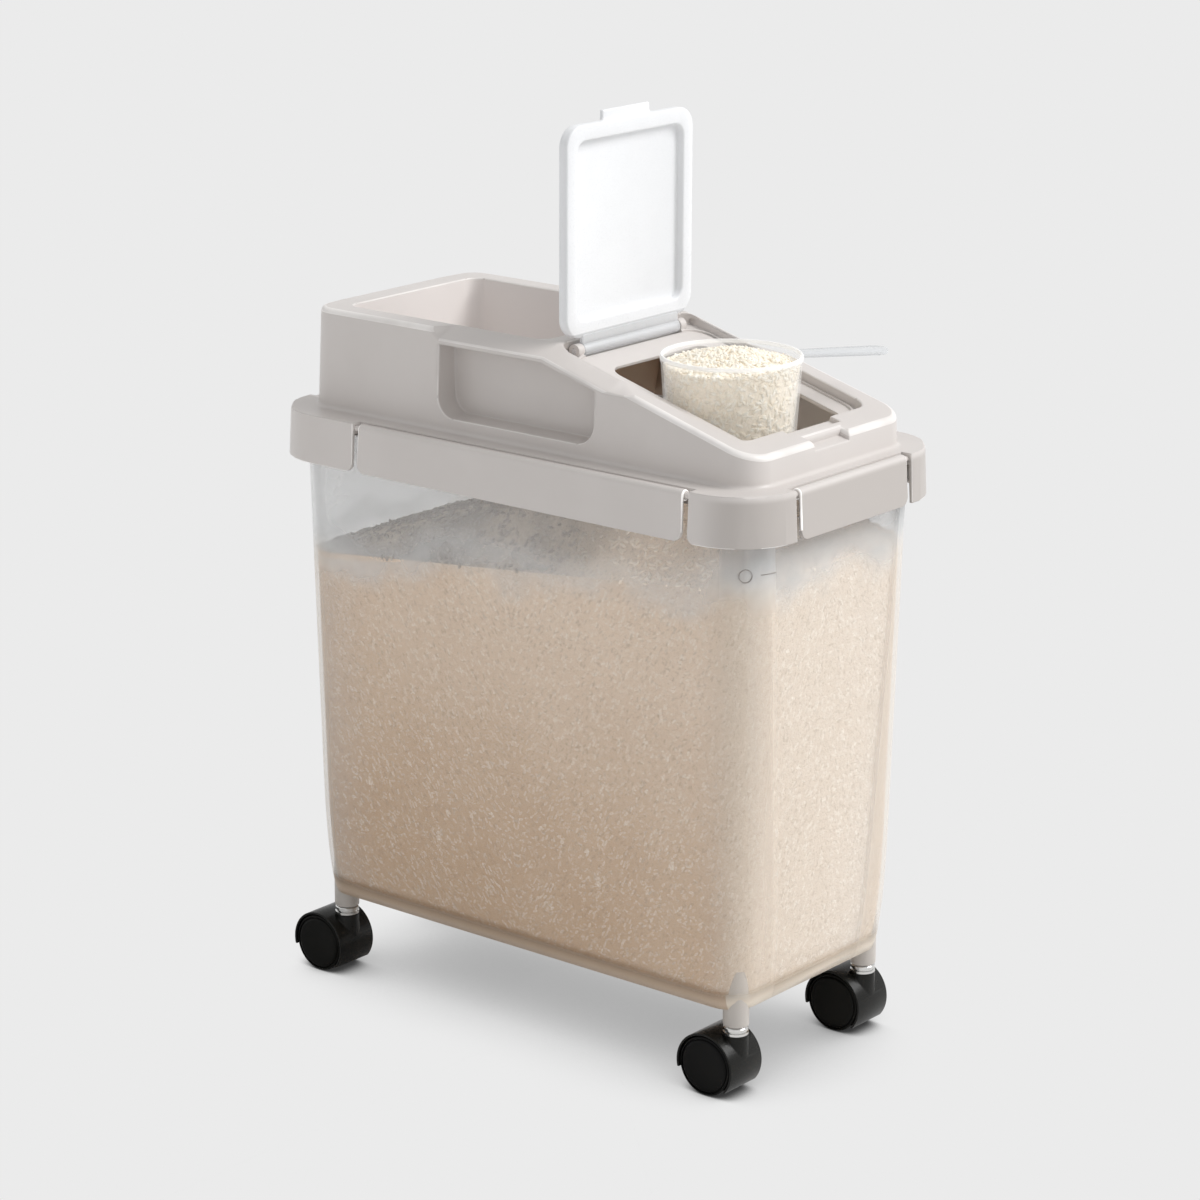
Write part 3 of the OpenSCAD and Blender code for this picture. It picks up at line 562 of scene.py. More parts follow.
@dataclass(frozen=True)
class RiceMass:
    """Packed rice, drawn as several layers of grains that lie in different directions.

    A grain's heart and end are ranges of the distance from its middle, in grain sizes. The
    grains that take a painted highlight or are dull are those whose own random number lies
    past the values here.
    """

    name: str
    # Painted shade and light: low to high darkens the bottom and rear, front lightens the front,
    # gap shades the gaps and also tints dark specks, and the highlight colour lights some grains.
    low: Colour
    high: Colour
    gap: Colour
    grain_highlight: Colour
    front: Colour
    upright: bool = True
    glow: float = 0.0
    front_y: float = -172.0
    front_span: float = 24.0
    speck_and_gap_shade: float = 0.45
    patches: float = 0.0
    low_z: float = 60.0
    high_z: float = 330.0
    lean: float = 0.9
    skew: float = 0.03
    grain_size: tuple[float, float, float] = (2.2, 5.6, 2.2)
    heart: tuple[float, float] = (0.12, 0.27)
    end: tuple[float, float] = (0.28, 0.36)
    lit_past: float = 0.74
    lit_most: float = 0.95
    dull_past: tuple[float, float] = (0.86, 0.94)
    cover: float = 0.6
    layers: int = 7
    depth: float = 0.6
    drift: float = 0.25
    drift_size: float = 70.0
    front_most: float = 0.9
    patch_size: float = 75.0
    patch_past: tuple[float, float] = (0.42, 0.62)
    gap_size: float = 1.3
    gap_below: tuple[float, float] = (0.30, 0.42)
    heart_dim: float = 0.75

    def _place(self, bench: Bench) -> Socket:
        """Gives coordinates that lie flat on upright walls, or the object's own ones.

        Args:
            bench: the material's nodes.

        Returns:
            The coordinates.
        """
        if not self.upright:
            return bench.place
        around = bench.calc("SUBTRACT", bench.aside("Y"), bench.aside("X"))
        along = bench.plus(around, 1.0, bench.times(bench.axis("X"), self.skew))
        return bench.add("CombineXYZ", {"X": along, "Y": bench.axis("Z")}).outputs["Vector"]

    def _ground(self, bench: Bench) -> Socket:
        """Gives the colour of the mass before its grains: painted shade low down and at the rear,
        painted light on the front.

        Args:
            bench: the material's nodes.

        Returns:
            The colour.
        """
        drift = bench.plus(bench.noise(self.drift_size), 2 * self.drift, -self.drift)
        # Darker towards the bottom and the rear: painted shade.
        level = bench.total(bench.ramp(bench.axis("Z"), self.low_z, self.high_z),
                            bench.plus(bench.axis("Y"), -self.lean, drift))
        level = bench.calc("MINIMUM", bench.calc("MAXIMUM", level, 0.0), 1.0)
        ground = bench.blend(level, self.low, self.high)
        # Lighter on the front: painted light.
        front = bench.remap(bench.axis("Y"), (self.front_y + self.front_span) * MM,
                            self.front_y * MM, 0.0, self.front_most)
        ground = bench.blend(front, ground, self.front)
        if not self.upright:
            patch = bench.remap(bench.noise(self.patch_size), *self.patch_past, 0.0, self.patches)
            ground = bench.blend(patch, ground, self.front)
        return ground

    def _layer(self, bench: Bench, place: Socket, turn: Sequence[float], ground: Socket
               ) -> tuple[Socket, Socket, Socket]:
        """Lays one layer of grains.

        Args:
            bench: the material's nodes.
            place: coordinates of the grains.
            turn: which way the layer's grains lie.
            ground: colour of the mass.

        Returns:
            Where the grains are, their colour and how high each one lies.
        """
        cells = bench.cells(self.grain_size, turn, place)
        cell = bench.add("TexVoronoi", {"Scale": 1.0, "Vector": cells},
                         voronoi_dimensions="2D" if self.upright else "3D")
        body = bench.remap(cell.outputs["Distance"], *self.end, 1.0, 0.0)
        core = bench.remap(cell.outputs["Distance"], *self.heart, 1.0, 0.0)
        tone = bench.add("SeparateColor", {"Color": cell.outputs["Color"]})
        # Some grains take a painted highlight, strongest at their rims; others are dark specks.
        lit = bench.remap(tone.outputs["Red"], self.lit_past, 1.0, 0.0, self.lit_most)
        shine = bench.times(lit, bench.plus(core, -self.heart_dim, 1.0))
        dull = bench.remap(tone.outputs["Green"], *self.dull_past, 0.0, self.speck_and_gap_shade)
        kernel = bench.blend(dull, bench.blend(shine, ground, self.grain_highlight), self.gap)
        return body, kernel, tone.outputs["Blue"]

    def build(self) -> bpy.types.Material:
        """Builds the material.

        Returns:
            The material.
        """
        bench = Bench(self.name, self.high, 0.6)
        bench.drive("Specular IOR Level", 0.3)
        rng = random.Random(SEED)
        ground = self._ground(bench)
        # Painted shade in the gaps between grains.
        gap_shade = bench.remap(bench.noise(self.gap_size), *self.gap_below, self.speck_and_gap_shade, 0.0)
        colour = bench.blend(gap_shade, ground, self.gap)
        place = self._place(bench)
        height: object = 0.0
        for layer in range(self.layers):
            spin = math.pi * (layer + rng.uniform(0.0, 0.7)) / self.layers
            tip = (0.0, 0.0) if self.upright else (rng.uniform(0, 3), rng.uniform(0, 3))
            body, kernel, lift = self._layer(bench, place, (*tip, spin), ground)
            colour = bench.blend(bench.times(body, self.cover), colour, kernel)
            height = bench.calc("MAXIMUM", height, bench.times(body, lift))
        bench.drive("Base Color", colour)
        # A painted glow, standing in for light through the rice.
        if self.glow:
            bench.glow(colour, self.glow)
        bench.relief(height, self.depth, 0.7)
        return bench.material


@dataclass(frozen=True)
class RiceGrain:
    """A separate rice grain: pale, slightly glassy, each of its own tone."""

    name: str
    colour: Colour
    shade: Colour
    glow: float
    # Lighter colour towards the front: painted light.
    near: Colour | None = None
    near_y: tuple[float, float] = (-20.0, -90.0)
    size: float = 4.0
    ripple: float = 0.7
    ripple_depth: float = 0.05

    def build(self) -> bpy.types.Material:
        """Builds the material.

        Returns:
            The material.
        """
        bench = Bench(self.name, self.colour, 0.42)
        tone = bench.remap(bench.noise(self.size, 1.0), 0.35, 0.65, 0.0, 1.0)
        colour = bench.blend(tone, self.shade, self.colour)
        if self.near:
            colour = bench.blend(bench.ramp(bench.axis("Y"), *self.near_y), colour, self.near)
        bench.drive("Base Color", colour)
        # A painted glow, standing in for light through the grain.
        bench.glow(colour, self.glow)
        bench.relief(bench.noise(self.ripple), self.ripple_depth, 0.5)
        return bench.material


@dataclass(frozen=True)
class BrightMetal:
    """Plated or drawn steel with fine lines."""

    name: str
    colour: Colour
    roughness: float
    lines: float = 0.4
    line_depth: float = 0.01

    def build(self) -> bpy.types.Material:
        """Builds the material.

        Returns:
            The material.
        """
        bench = Bench(self.name, self.colour, self.roughness)
        bench.drive("Metallic", 1.0)
        lines = bench.noise(self.lines, 3.0, (6, 6, 1))
        bench.drive("Roughness", bench.wander(lines, self.roughness * 0.8, self.roughness * 1.3))
        bench.relief(lines, self.line_depth, 0.4)
        return bench.material


@dataclass(frozen=True)
class Finishes:
    """Every finish of the bin, built once."""

    lid: bpy.types.Material
    clip: bpy.types.Material
    inside: bpy.types.Material
    wall: bpy.types.Material
    boss: bpy.types.Material
    mark: bpy.types.Material
    flap: bpy.types.Material
    scoop: bpy.types.Material
    handle: bpy.types.Material
    stored: bpy.types.Material
    stored_top: bpy.types.Material
    stored_grain: bpy.types.Material
    scooped: bpy.types.Material
    scooped_grain: bpy.types.Material
    seal: bpy.types.Material
    chrome: bpy.types.Material
    steel: bpy.types.Material
    hood: bpy.types.Material
    wheel: bpy.types.Material

    @classmethod
    def make(cls) -> "Finishes":
        """Builds all the materials.

        Returns:
            The finishes.
        """
        greige, greige_shade = (0.645, 0.607, 0.583), (0.625, 0.587, 0.563)
        # Darker colour painted on the rim's front: painted shade.
        rim_shade_colour = (0.475, 0.440, 0.415)
        heaped = (0.95, 0.87, 0.74)
        plans = {
            "lid": MouldedPlastic("greige_plastic", greige, greige_shade, 0.36, edge=0.8,
                                  edge_highlight=0.62, low_front=rim_shade_colour,
                                  tray_painted_light=(0.765, 0.722, 0.70)),
            "clip": MouldedPlastic("greige_clip", greige, greige_shade, 0.36, edge=0.5,
                                   edge_highlight=1.0, edge_glow=0.20, low_front=rim_shade_colour),
            # Brown painted shade for the lid's inner faces seen through the mouth, warmed as if lit
            # off the rice.
            "inside": MouldedPlastic("shaded_inside", (0.50, 0.38, 0.29), (0.46, 0.34, 0.26), 0.6),
            "wall": FrostedWall(),
            "boss": ClearPlastic("milky_boss", (0.57, 0.53, 0.49), 0.80, 0.2, 3.0, 0.35),
            "mark": MouldedPlastic("level_mark", (0.30, 0.28, 0.26), (0.26, 0.24, 0.23)),
            "flap": ClearPlastic("milky_flap", (0.82, 0.83, 0.845), 0.42, 0.6, 2.0, 0.3, glow=0.03,
                                 rim_z=448.0, rim_body=0.42),
            "scoop": ClearPlastic("clear_scoop", (0.96, 0.96, 0.95), 0.07, 0.55, 3.0, 0.14,
                                  glow=0.13, rim_z=436.6, rim_body=0.42),
            "handle": ClearPlastic("clear_handle", (0.74, 0.76, 0.78), 0.30, 0.5, 2.0, 0.12),
            "stored": RiceMass("packed_rice", low=(0.60, 0.39, 0.215), high=(0.82, 0.64, 0.48),
                               gap=(0.34, 0.23, 0.13), grain_highlight=(1.0, 0.95, 0.86),
                               front=(0.74, 0.63, 0.515)),
            # The heaped top is painted dark as shade under the lid, and light towards the front.
            "stored_top": RiceMass("heaped_rice", low=(0.31, 0.26, 0.215),
                                   high=(0.315, 0.265, 0.22), gap=(0.27, 0.22, 0.18),
                                   grain_highlight=(0.70, 0.62, 0.54), front=(0.95, 0.78, 0.62),
                                   upright=False, glow=0.10, front_y=-95.0, front_span=75.0,
                                   patches=0.4),
            # Loose grains are painted dark as shade, and light near the front.
            "stored_grain": RiceGrain("loose_rice", (0.48, 0.41, 0.34), (0.36, 0.30, 0.25), 0.04,
                                      near=(0.97, 0.84, 0.70)),
            "scooped": RiceMass("white_rice", low=(0.95, 0.85, 0.70), high=heaped,
                                gap=(0.70, 0.56, 0.38), grain_highlight=(1.0, 0.98, 0.93), front=heaped,
                                upright=False, glow=0.10),
            "scooped_grain": RiceGrain("white_grain", (0.92, 0.88, 0.79), (0.86, 0.78, 0.65), 0.08),
            "seal": MouldedPlastic("silicone", (0.70, 0.67, 0.64), (0.66, 0.63, 0.60), 0.55),
            "chrome": BrightMetal("chrome", (0.66, 0.66, 0.65), 0.14),
            "steel": BrightMetal("steel_wire", (0.60, 0.60, 0.61), 0.3),
            "hood": MouldedPlastic("caster_black", (0.006, 0.006, 0.005), (0.009, 0.009, 0.008),
                                   0.3, 0.2, grain=0.5, grain_depth=0.01),
            "wheel": MouldedPlastic("wheel_black", (0.003, 0.003, 0.003), (0.005, 0.005, 0.004),
                                    0.34, 0.1, grain=0.5, grain_depth=0.01),
        }
        return cls(**{key: plan.build() for key, plan in plans.items()})


# ---- mesh work ----


def unique(items: Iterable) -> list:
    """Lists items once each, in the order they come in."""
    return list(dict.fromkeys(items))


def as_mesh(bm: Mesh, name: str) -> bpy.types.Mesh:
    """Writes a bmesh to a new mesh and frees it.

    Args:
        bm: bmesh to write.
        name: name of the mesh.

    Returns:
        The mesh.
    """
    mesh = bpy.data.meshes.new(name)
    bm.to_mesh(mesh)
    bm.free()
    return mesh


def pour(source: Mesh, target: Mesh) -> None:
    """Adds one bmesh to another and frees the first.

    Args:
        source: bmesh to add.
        target: bmesh that takes it.
    """
    holder = as_mesh(source, "holder")
    target.from_mesh(holder)
    bpy.data.meshes.remove(holder)


def show(name: str, data: bpy.types.ID) -> bpy.types.Object:
    """Puts an object in the scene.

    Args:
        name: name of the object.
        data: its mesh, lamp or camera.

    Returns:
        The object.
    """
    made = bpy.data.objects.new(name, data)
    bpy.context.collection.objects.link(made)
    return made


def section(bm: Mesh, half_w: float, half_l: float, radius: float, z: float,
            cuts: tuple[int, int] = (0, 0)) -> list[Edge]:
    """Adds the outline of one level section with round corners.

    Args:
        bm: mesh to add to.
        half_w: half of the width across X.
        half_l: half of the length along Y.
        radius: corner radius.
        z: level of the section.
        cuts: extra points on the straights along X and along Y.

    Returns:
        The edges of the outline.
    """
    made = bmesh.ops.create_grid(bm, x_segments=1, y_segments=1, size=1.0)
    bmesh.ops.scale(bm, verts=made["verts"], vec=(half_w, half_l, 1.0))
    bmesh.ops.translate(bm, verts=made["verts"], vec=(0.0, 0.0, z))
    rounded = bmesh.ops.bevel(bm, geom=made["verts"], offset=radius, offset_type="OFFSET",
                              segments=CORNER_STEPS, profile=0.5, affect="VERTICES", material=-1)
    face = rounded["verts"][0].link_faces[0]
    edges = list(face.edges)
    bmesh.ops.delete(bm, geom=[face], context="FACES_ONLY")
    for axis, count, least in ((0, cuts[0], half_w - radius), (1, cuts[1], half_l - radius)):
        long = [e for e in edges if abs(e.verts[0].co[axis] - e.verts[1].co[axis]) > least]
        if count and long:
            made = bmesh.ops.subdivide_edges(bm, edges=long, cuts=count)
            edges += [g for g in made["geom_split"] if isinstance(g, Edge)]
    return unique(edges)


def loft(bm: Mesh, loops: Sequence[list[Edge]]) -> None:
    """Joins outlines in order with a skin and closes its ends.

    Args:
        bm: mesh that holds the outlines.
        loops: outlines, each with as many points as the next.
    """
    for first, second in zip(loops, loops[1:]):
        bmesh.ops.bridge_loops(bm, edges=[*first, *second])
    for loop in (loops[0], loops[-1]):
        bmesh.ops.edgeloop_fill(bm, edges=loop)


def lathe(profile: Sequence[tuple[float, float]], steps: int) -> Mesh:
    """Spins an open outline about Z; its ends lie on the axis or meet each other.

    Args:
        profile: points as (radius, height).
        steps: steps in the full turn.

    Returns:
        A mesh with closed poles and outward normals.
    """
    bm = bmesh.new()
    points = [bm.verts.new((r, 0.0, z)) for r, z in profile]
    edges = [bm.edges.new(pair) for pair in zip(points, points[1:])]
    bmesh.ops.spin(bm, geom=[*points, *edges], cent=(0, 0, 0), axis=(0, 0, 1), angle=2 * math.pi,
                   steps=steps, use_merge=True, use_duplicate=False)
    tidy(bm)
    return bm


def tidy(bm: Mesh, distance: float = 1e-4) -> None:
    """Merges doubles and points every face outwards."""
    bmesh.ops.remove_doubles(bm, verts=bm.verts, dist=distance)
    bmesh.ops.recalc_face_normals(bm, faces=bm.faces)


def move(bm: Mesh, offset: Sequence[float]) -> None:
    """Moves a whole mesh."""
    bmesh.ops.translate(bm, verts=bm.verts, vec=offset)


def turn(bm: Mesh, angle: float, axis: str) -> None:
    """Turns a whole mesh about an axis by an angle in radians."""
    spin = Matrix.Rotation(angle, 3, axis)
    bmesh.ops.rotate(bm, verts=bm.verts, cent=(0, 0, 0), matrix=spin)


def node_copy(node: str, flat: float = 0.6) -> Mesh:
    """Copies a frame node as a merged mesh in millimetres, with its flat faces joined.

    Args:
        node: name of the node.
        flat: greatest angle between triangles that are joined, in degrees.

    Returns:
        The copy.
    """
    bm = bmesh.new()
    bm.from_mesh(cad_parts[node].data)
    bmesh.ops.scale(bm, verts=bm.verts, vec=(1 / MM,) * 3)
    bmesh.ops.remove_doubles(bm, verts=bm.verts, dist=0.06)
    bmesh.ops.dissolve_degenerate(bm, edges=bm.edges, dist=0.02)
    bmesh.ops.dissolve_limit(bm, angle_limit=math.radians(flat), use_dissolve_boundaries=False,
                             verts=bm.verts, edges=bm.edges, delimit=set())
    return bm


def middle(edge: Edge) -> Vector:
    """Gives the middle of an edge."""
    return (edge.verts[0].co + edge.verts[1].co) / 2


def further(at: Vector, half_w: float, half_l: float) -> bool:
    """Tells whether a place lies further out than half a width or half a length."""
    return abs(at.x) > half_w or abs(at.y) > half_l


def broad(edge: Edge, area: float) -> bool:
    """Tells whether the faces beside an edge are all larger than an area."""
    return all(face.calc_area() > area for face in edge.link_faces)


def chains(edges: Iterable[Edge]) -> list[list[Edge]]:
    """Sorts edges into chains that share corners.

    Args:
        edges: edges to sort.

    Returns:
        The chains.
    """
    left = dict.fromkeys(edges)
    found = []
    while left:
        queue = [left.popitem()[0]]
        chain = []
        while queue:
            edge = queue.pop()
            chain.append(edge)
            for other in [o for v in edge.verts for o in v.link_edges if o in left]:
                del left[other]
                queue.append(other)
        found.append(chain)
    return found


@dataclass(frozen=True)
class EdgeRound:
    """One pass of edge rounding: which edges it takes, their radius and their painted highlight.

    A chain is bevelled at a time, and edges blunter than sharper_than are left alone, so that a
    pass doesn't take the edges between an earlier pass's strips.
    """

    radius: float
    takes: Callable[[Edge], bool]
    segments: int = 3
    sharper_than: float = 40.0
    clamp: bool = False
    # Strength of the painted highlight on the outer strips.
    light: float = 1.0

    def run(self, bm: Mesh) -> int:
        """Rounds the edges, and marks the outer ones so that a finish can paint a highlight on
        them.

        Args:
            bm: mesh in millimetres.

        Returns:
            How many chains of edges were rounded.
        """
        layer = bm.faces.layers.float.get(EDGE_LAYER) or bm.faces.layers.float.new(EDGE_LAYER)
        bend = math.radians(self.sharper_than)
        rows = chains(e for e in bm.edges
                      if e.is_manifold and e.calc_face_angle() > bend and self.takes(e))
        strips = []
        for row in rows:
            made = bmesh.ops.bevel(bm, geom=[e for e in row if e.is_valid], offset=self.radius,
                                   offset_type="OFFSET", segments=self.segments, profile=0.5,
                                   affect="EDGES", clamp_overlap=self.clamp, loop_slide=True,
                                   material=-1)
            strips += made["faces"]
        bm.normal_update()
        for face in [f for f in strips if f.is_valid]:
            at = face.calc_center_median()
            lean = sum((other.calc_center_median() - at).dot(face.normal)
                       for edge in face.edges for other in edge.link_faces)
            # Outer strips take the painted highlight's strength, inner ones none.
            face[layer] = self.light if lean < 0.0 else 0.0
        return len(rows)


def finish_piece(bm: Mesh, name: str, body: str, material: bpy.types.Material,
                 replaced: Iterable[str] = (), sharp: float = 40.0) -> bpy.types.Object:
    """Turns a mesh in millimetres into a finished piece.

    Args:
        bm: mesh, which is freed.
        name: name of the piece.
        body: body that it rides on.
        material: its finish.
        replaced: frame nodes that it stands for.
        sharp: angle in degrees past which an edge stays sharp.

    Returns:
        The piece.
    """
    bmesh.ops.triangulate(bm, faces=[f for f in bm.faces if len(f.verts) > 4])
    bmesh.ops.scale(bm, verts=bm.verts, vec=(MM, MM, MM))
    for face in bm.faces:
        face.smooth = True
    for edge in bm.edges:
        edge.smooth = not edge.is_manifold or edge.calc_face_angle() < math.radians(sharp)
    mesh = as_mesh(bm, name)
    mesh.materials.append(material)
    piece = show(name, mesh)
    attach(piece, body)
    if replaced:
        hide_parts(*replaced)
    log.info("%s: %d faces on %s", name, len(mesh.polygons), body)
    return piece


def even_shading(piece: bpy.types.Object) -> None:
    """Keeps broad flat faces evenly shaded up to their rounded edges."""
    piece.modifiers.new("even_shading", "WEIGHTED_NORMAL").keep_sharp = True


def dress(node: str, material: bpy.types.Material) -> None:
    """Gives a frame node a better material.

    Args:
        node: name of the node.
        material: its finish.
    """
    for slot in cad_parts[node].material_slots:
        slot.material = material
    log.info("%s: dressed", node)


@dataclass(frozen=True)
class Sprinkle:
    """Loose grains strewn over some faces of a mesh."""

    count: int
    length: float = 5.2
    width: float = 2.2
    sink: float = 0.35
    tilt: float = 0.35
    sizes: tuple[float, float] = (0.85, 1.1)
    seed: int = SEED
    spun: bool = False

    def _grain(self) -> bpy.types.Mesh:
        """Makes one small grain, pointed along X.

        Returns:
            A mesh of a few dozen faces.
        """
        bm = bmesh.new()
        bmesh.ops.create_uvsphere(bm, u_segments=6, v_segments=5, radius=0.5)
        turn(bm, math.pi / 2, "Y")
        bmesh.ops.scale(bm, verts=bm.verts, vec=(self.length, self.width, self.width * 0.85))
        return as_mesh(bm, "grain")

    def _corners(self, face: Face) -> list[Vector]:
        """Copies a face's corners, from its lowest-numbered one on if the mesh was spun.

        Args:
            face: face to copy.

        Returns:
            Its corners.
        """
        verts = list(face.verts)
        if self.spun:
            first = verts.index(min(verts, key=lambda v: v.index))
            verts = verts[first:] + verts[:first]
        return [v.co.copy() for v in verts]

    def run(self, faces: Sequence[Face]) -> Mesh:
        """Lays the grains.

        A spun mesh lists its faces in another order each time, so they are sorted first.

        Args:
            faces: faces to cover, in millimetres.

        Returns:
            A mesh that holds every grain.
        """
        rng = random.Random(self.seed)
        if self.spun:
            faces = sorted(faces, key=lambda f: sorted(v.index for v in f.verts))
        corners = [self._corners(f) for f in faces]
        normals = [f.normal.copy() for f in faces]
        areas = [f.calc_area() for f in faces]
        grain = self._grain()
        out = bmesh.new()
        for pick in rng.choices(range(len(corners)), weights=areas, k=self.count):
            ring = corners[pick]
            third = rng.randrange(1, len(ring) - 1)
            u, v = sorted((rng.random(), rng.random()))
            point = ring[0] * u + ring[third] * (v - u) + ring[third + 1] * (1 - v)
            normal = normals[pick]
            lie = normal.to_track_quat("Z", "Y").to_matrix()
            lie = lie @ Matrix.Rotation(rng.uniform(0, 2 * math.pi), 3, "Z")
            lie = lie @ Matrix.Rotation(rng.gauss(0.0, self.tilt), 3, "Y")
            size = rng.uniform(*self.sizes)
            depth = self.width * (0.5 - self.sink) * rng.uniform(0.2, 1.0)
            place = Matrix.Translation(point + normal * depth) @ lie.to_4x4()
            place = place @ Matrix.Scale(size, 4)
            grain.transform(place)
            out.from_mesh(grain)
            grain.transform(place.inverted())
        bpy.data.meshes.remove(grain)
        return out


# ---- tub and rice ----


@dataclass(frozen=True)
class TubForm:
    """Sizes of the tub's walls, shared by the tub and the rice in it."""

    base_w: float = 165.0
    base_l: float = 348.0
    base_r: float = 24.0
    top_w: float = 184.0
    top_l: float = 365.0
    top_r: float = 35.0
    height: float = 319.0
    wall: float = 2.5
    floor: float = 3.0
    foot_h: float = 76.0
    foot_in: float = 6.5
    boss_drop: float = 11.0

    @cached_property
    def base_z(self) -> float:
        """Level of the tub's base."""
        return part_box("bin_tub")[0].z / MM + self.boss_drop

    def curve_in(self, z: float) -> float:
        """Gives how far the wall curves in.

        Args:
            z: level.

        Returns:
            The distance.
        """
        share = (z - self.base_z) / self.foot_h
        if share >= 1.0:
            return 0.0
        return self.foot_in * (1 - math.sqrt(max(0.0, 1 - (1 - max(share, 0.0)) ** 2)))

    def _taper(self, base: float, top: float, z: float) -> float:
        """Gives a size at a level, between its size at the base and at the top."""
        return base + (top - base) * (z - self.base_z) / self.height

    def half_w(self, z: float) -> float:
        """Gives half of the tub's outer width at a level."""
        return self._taper(self.base_w, self.top_w, z) / 2 - self.curve_in(z)

    def half_l(self, z: float) -> float:
        """Gives half of the tub's outer length at a level."""
        return self._taper(self.base_l, self.top_l, z) / 2 - self.curve_in(z)

    def radius(self, z: float) -> float:
        """Gives the outer corner radius at a level."""
        return self._taper(self.base_r, self.top_r, z) - self.curve_in(z)

    def outline(self, bm: Mesh, z: float, inset: float, cuts: tuple[int, int] = (0, 0)
                ) -> list[Edge]:
        """Adds the tub's section at a level, moved in by inset."""
        return section(bm, self.half_w(z) - inset, self.half_l(z) - inset,
                       self.radius(z) - inset, z, cuts)

    def levels(self, low: float, high: float, foot_steps: int = 8) -> list[float]:
        """Lists levels that follow the foot's curve.

        Args:
            low: first level.
            high: last level.
            foot_steps: steps in the foot's curve.

        Returns:
            The levels.
        """
        curve = [self.base_z + self.foot_h * (1 - math.cos(math.pi / 2 * i / foot_steps))
                 for i in range(1, foot_steps + 1)]
        return [low, *[z for z in curve if low + 1 < z < high - 1], high]


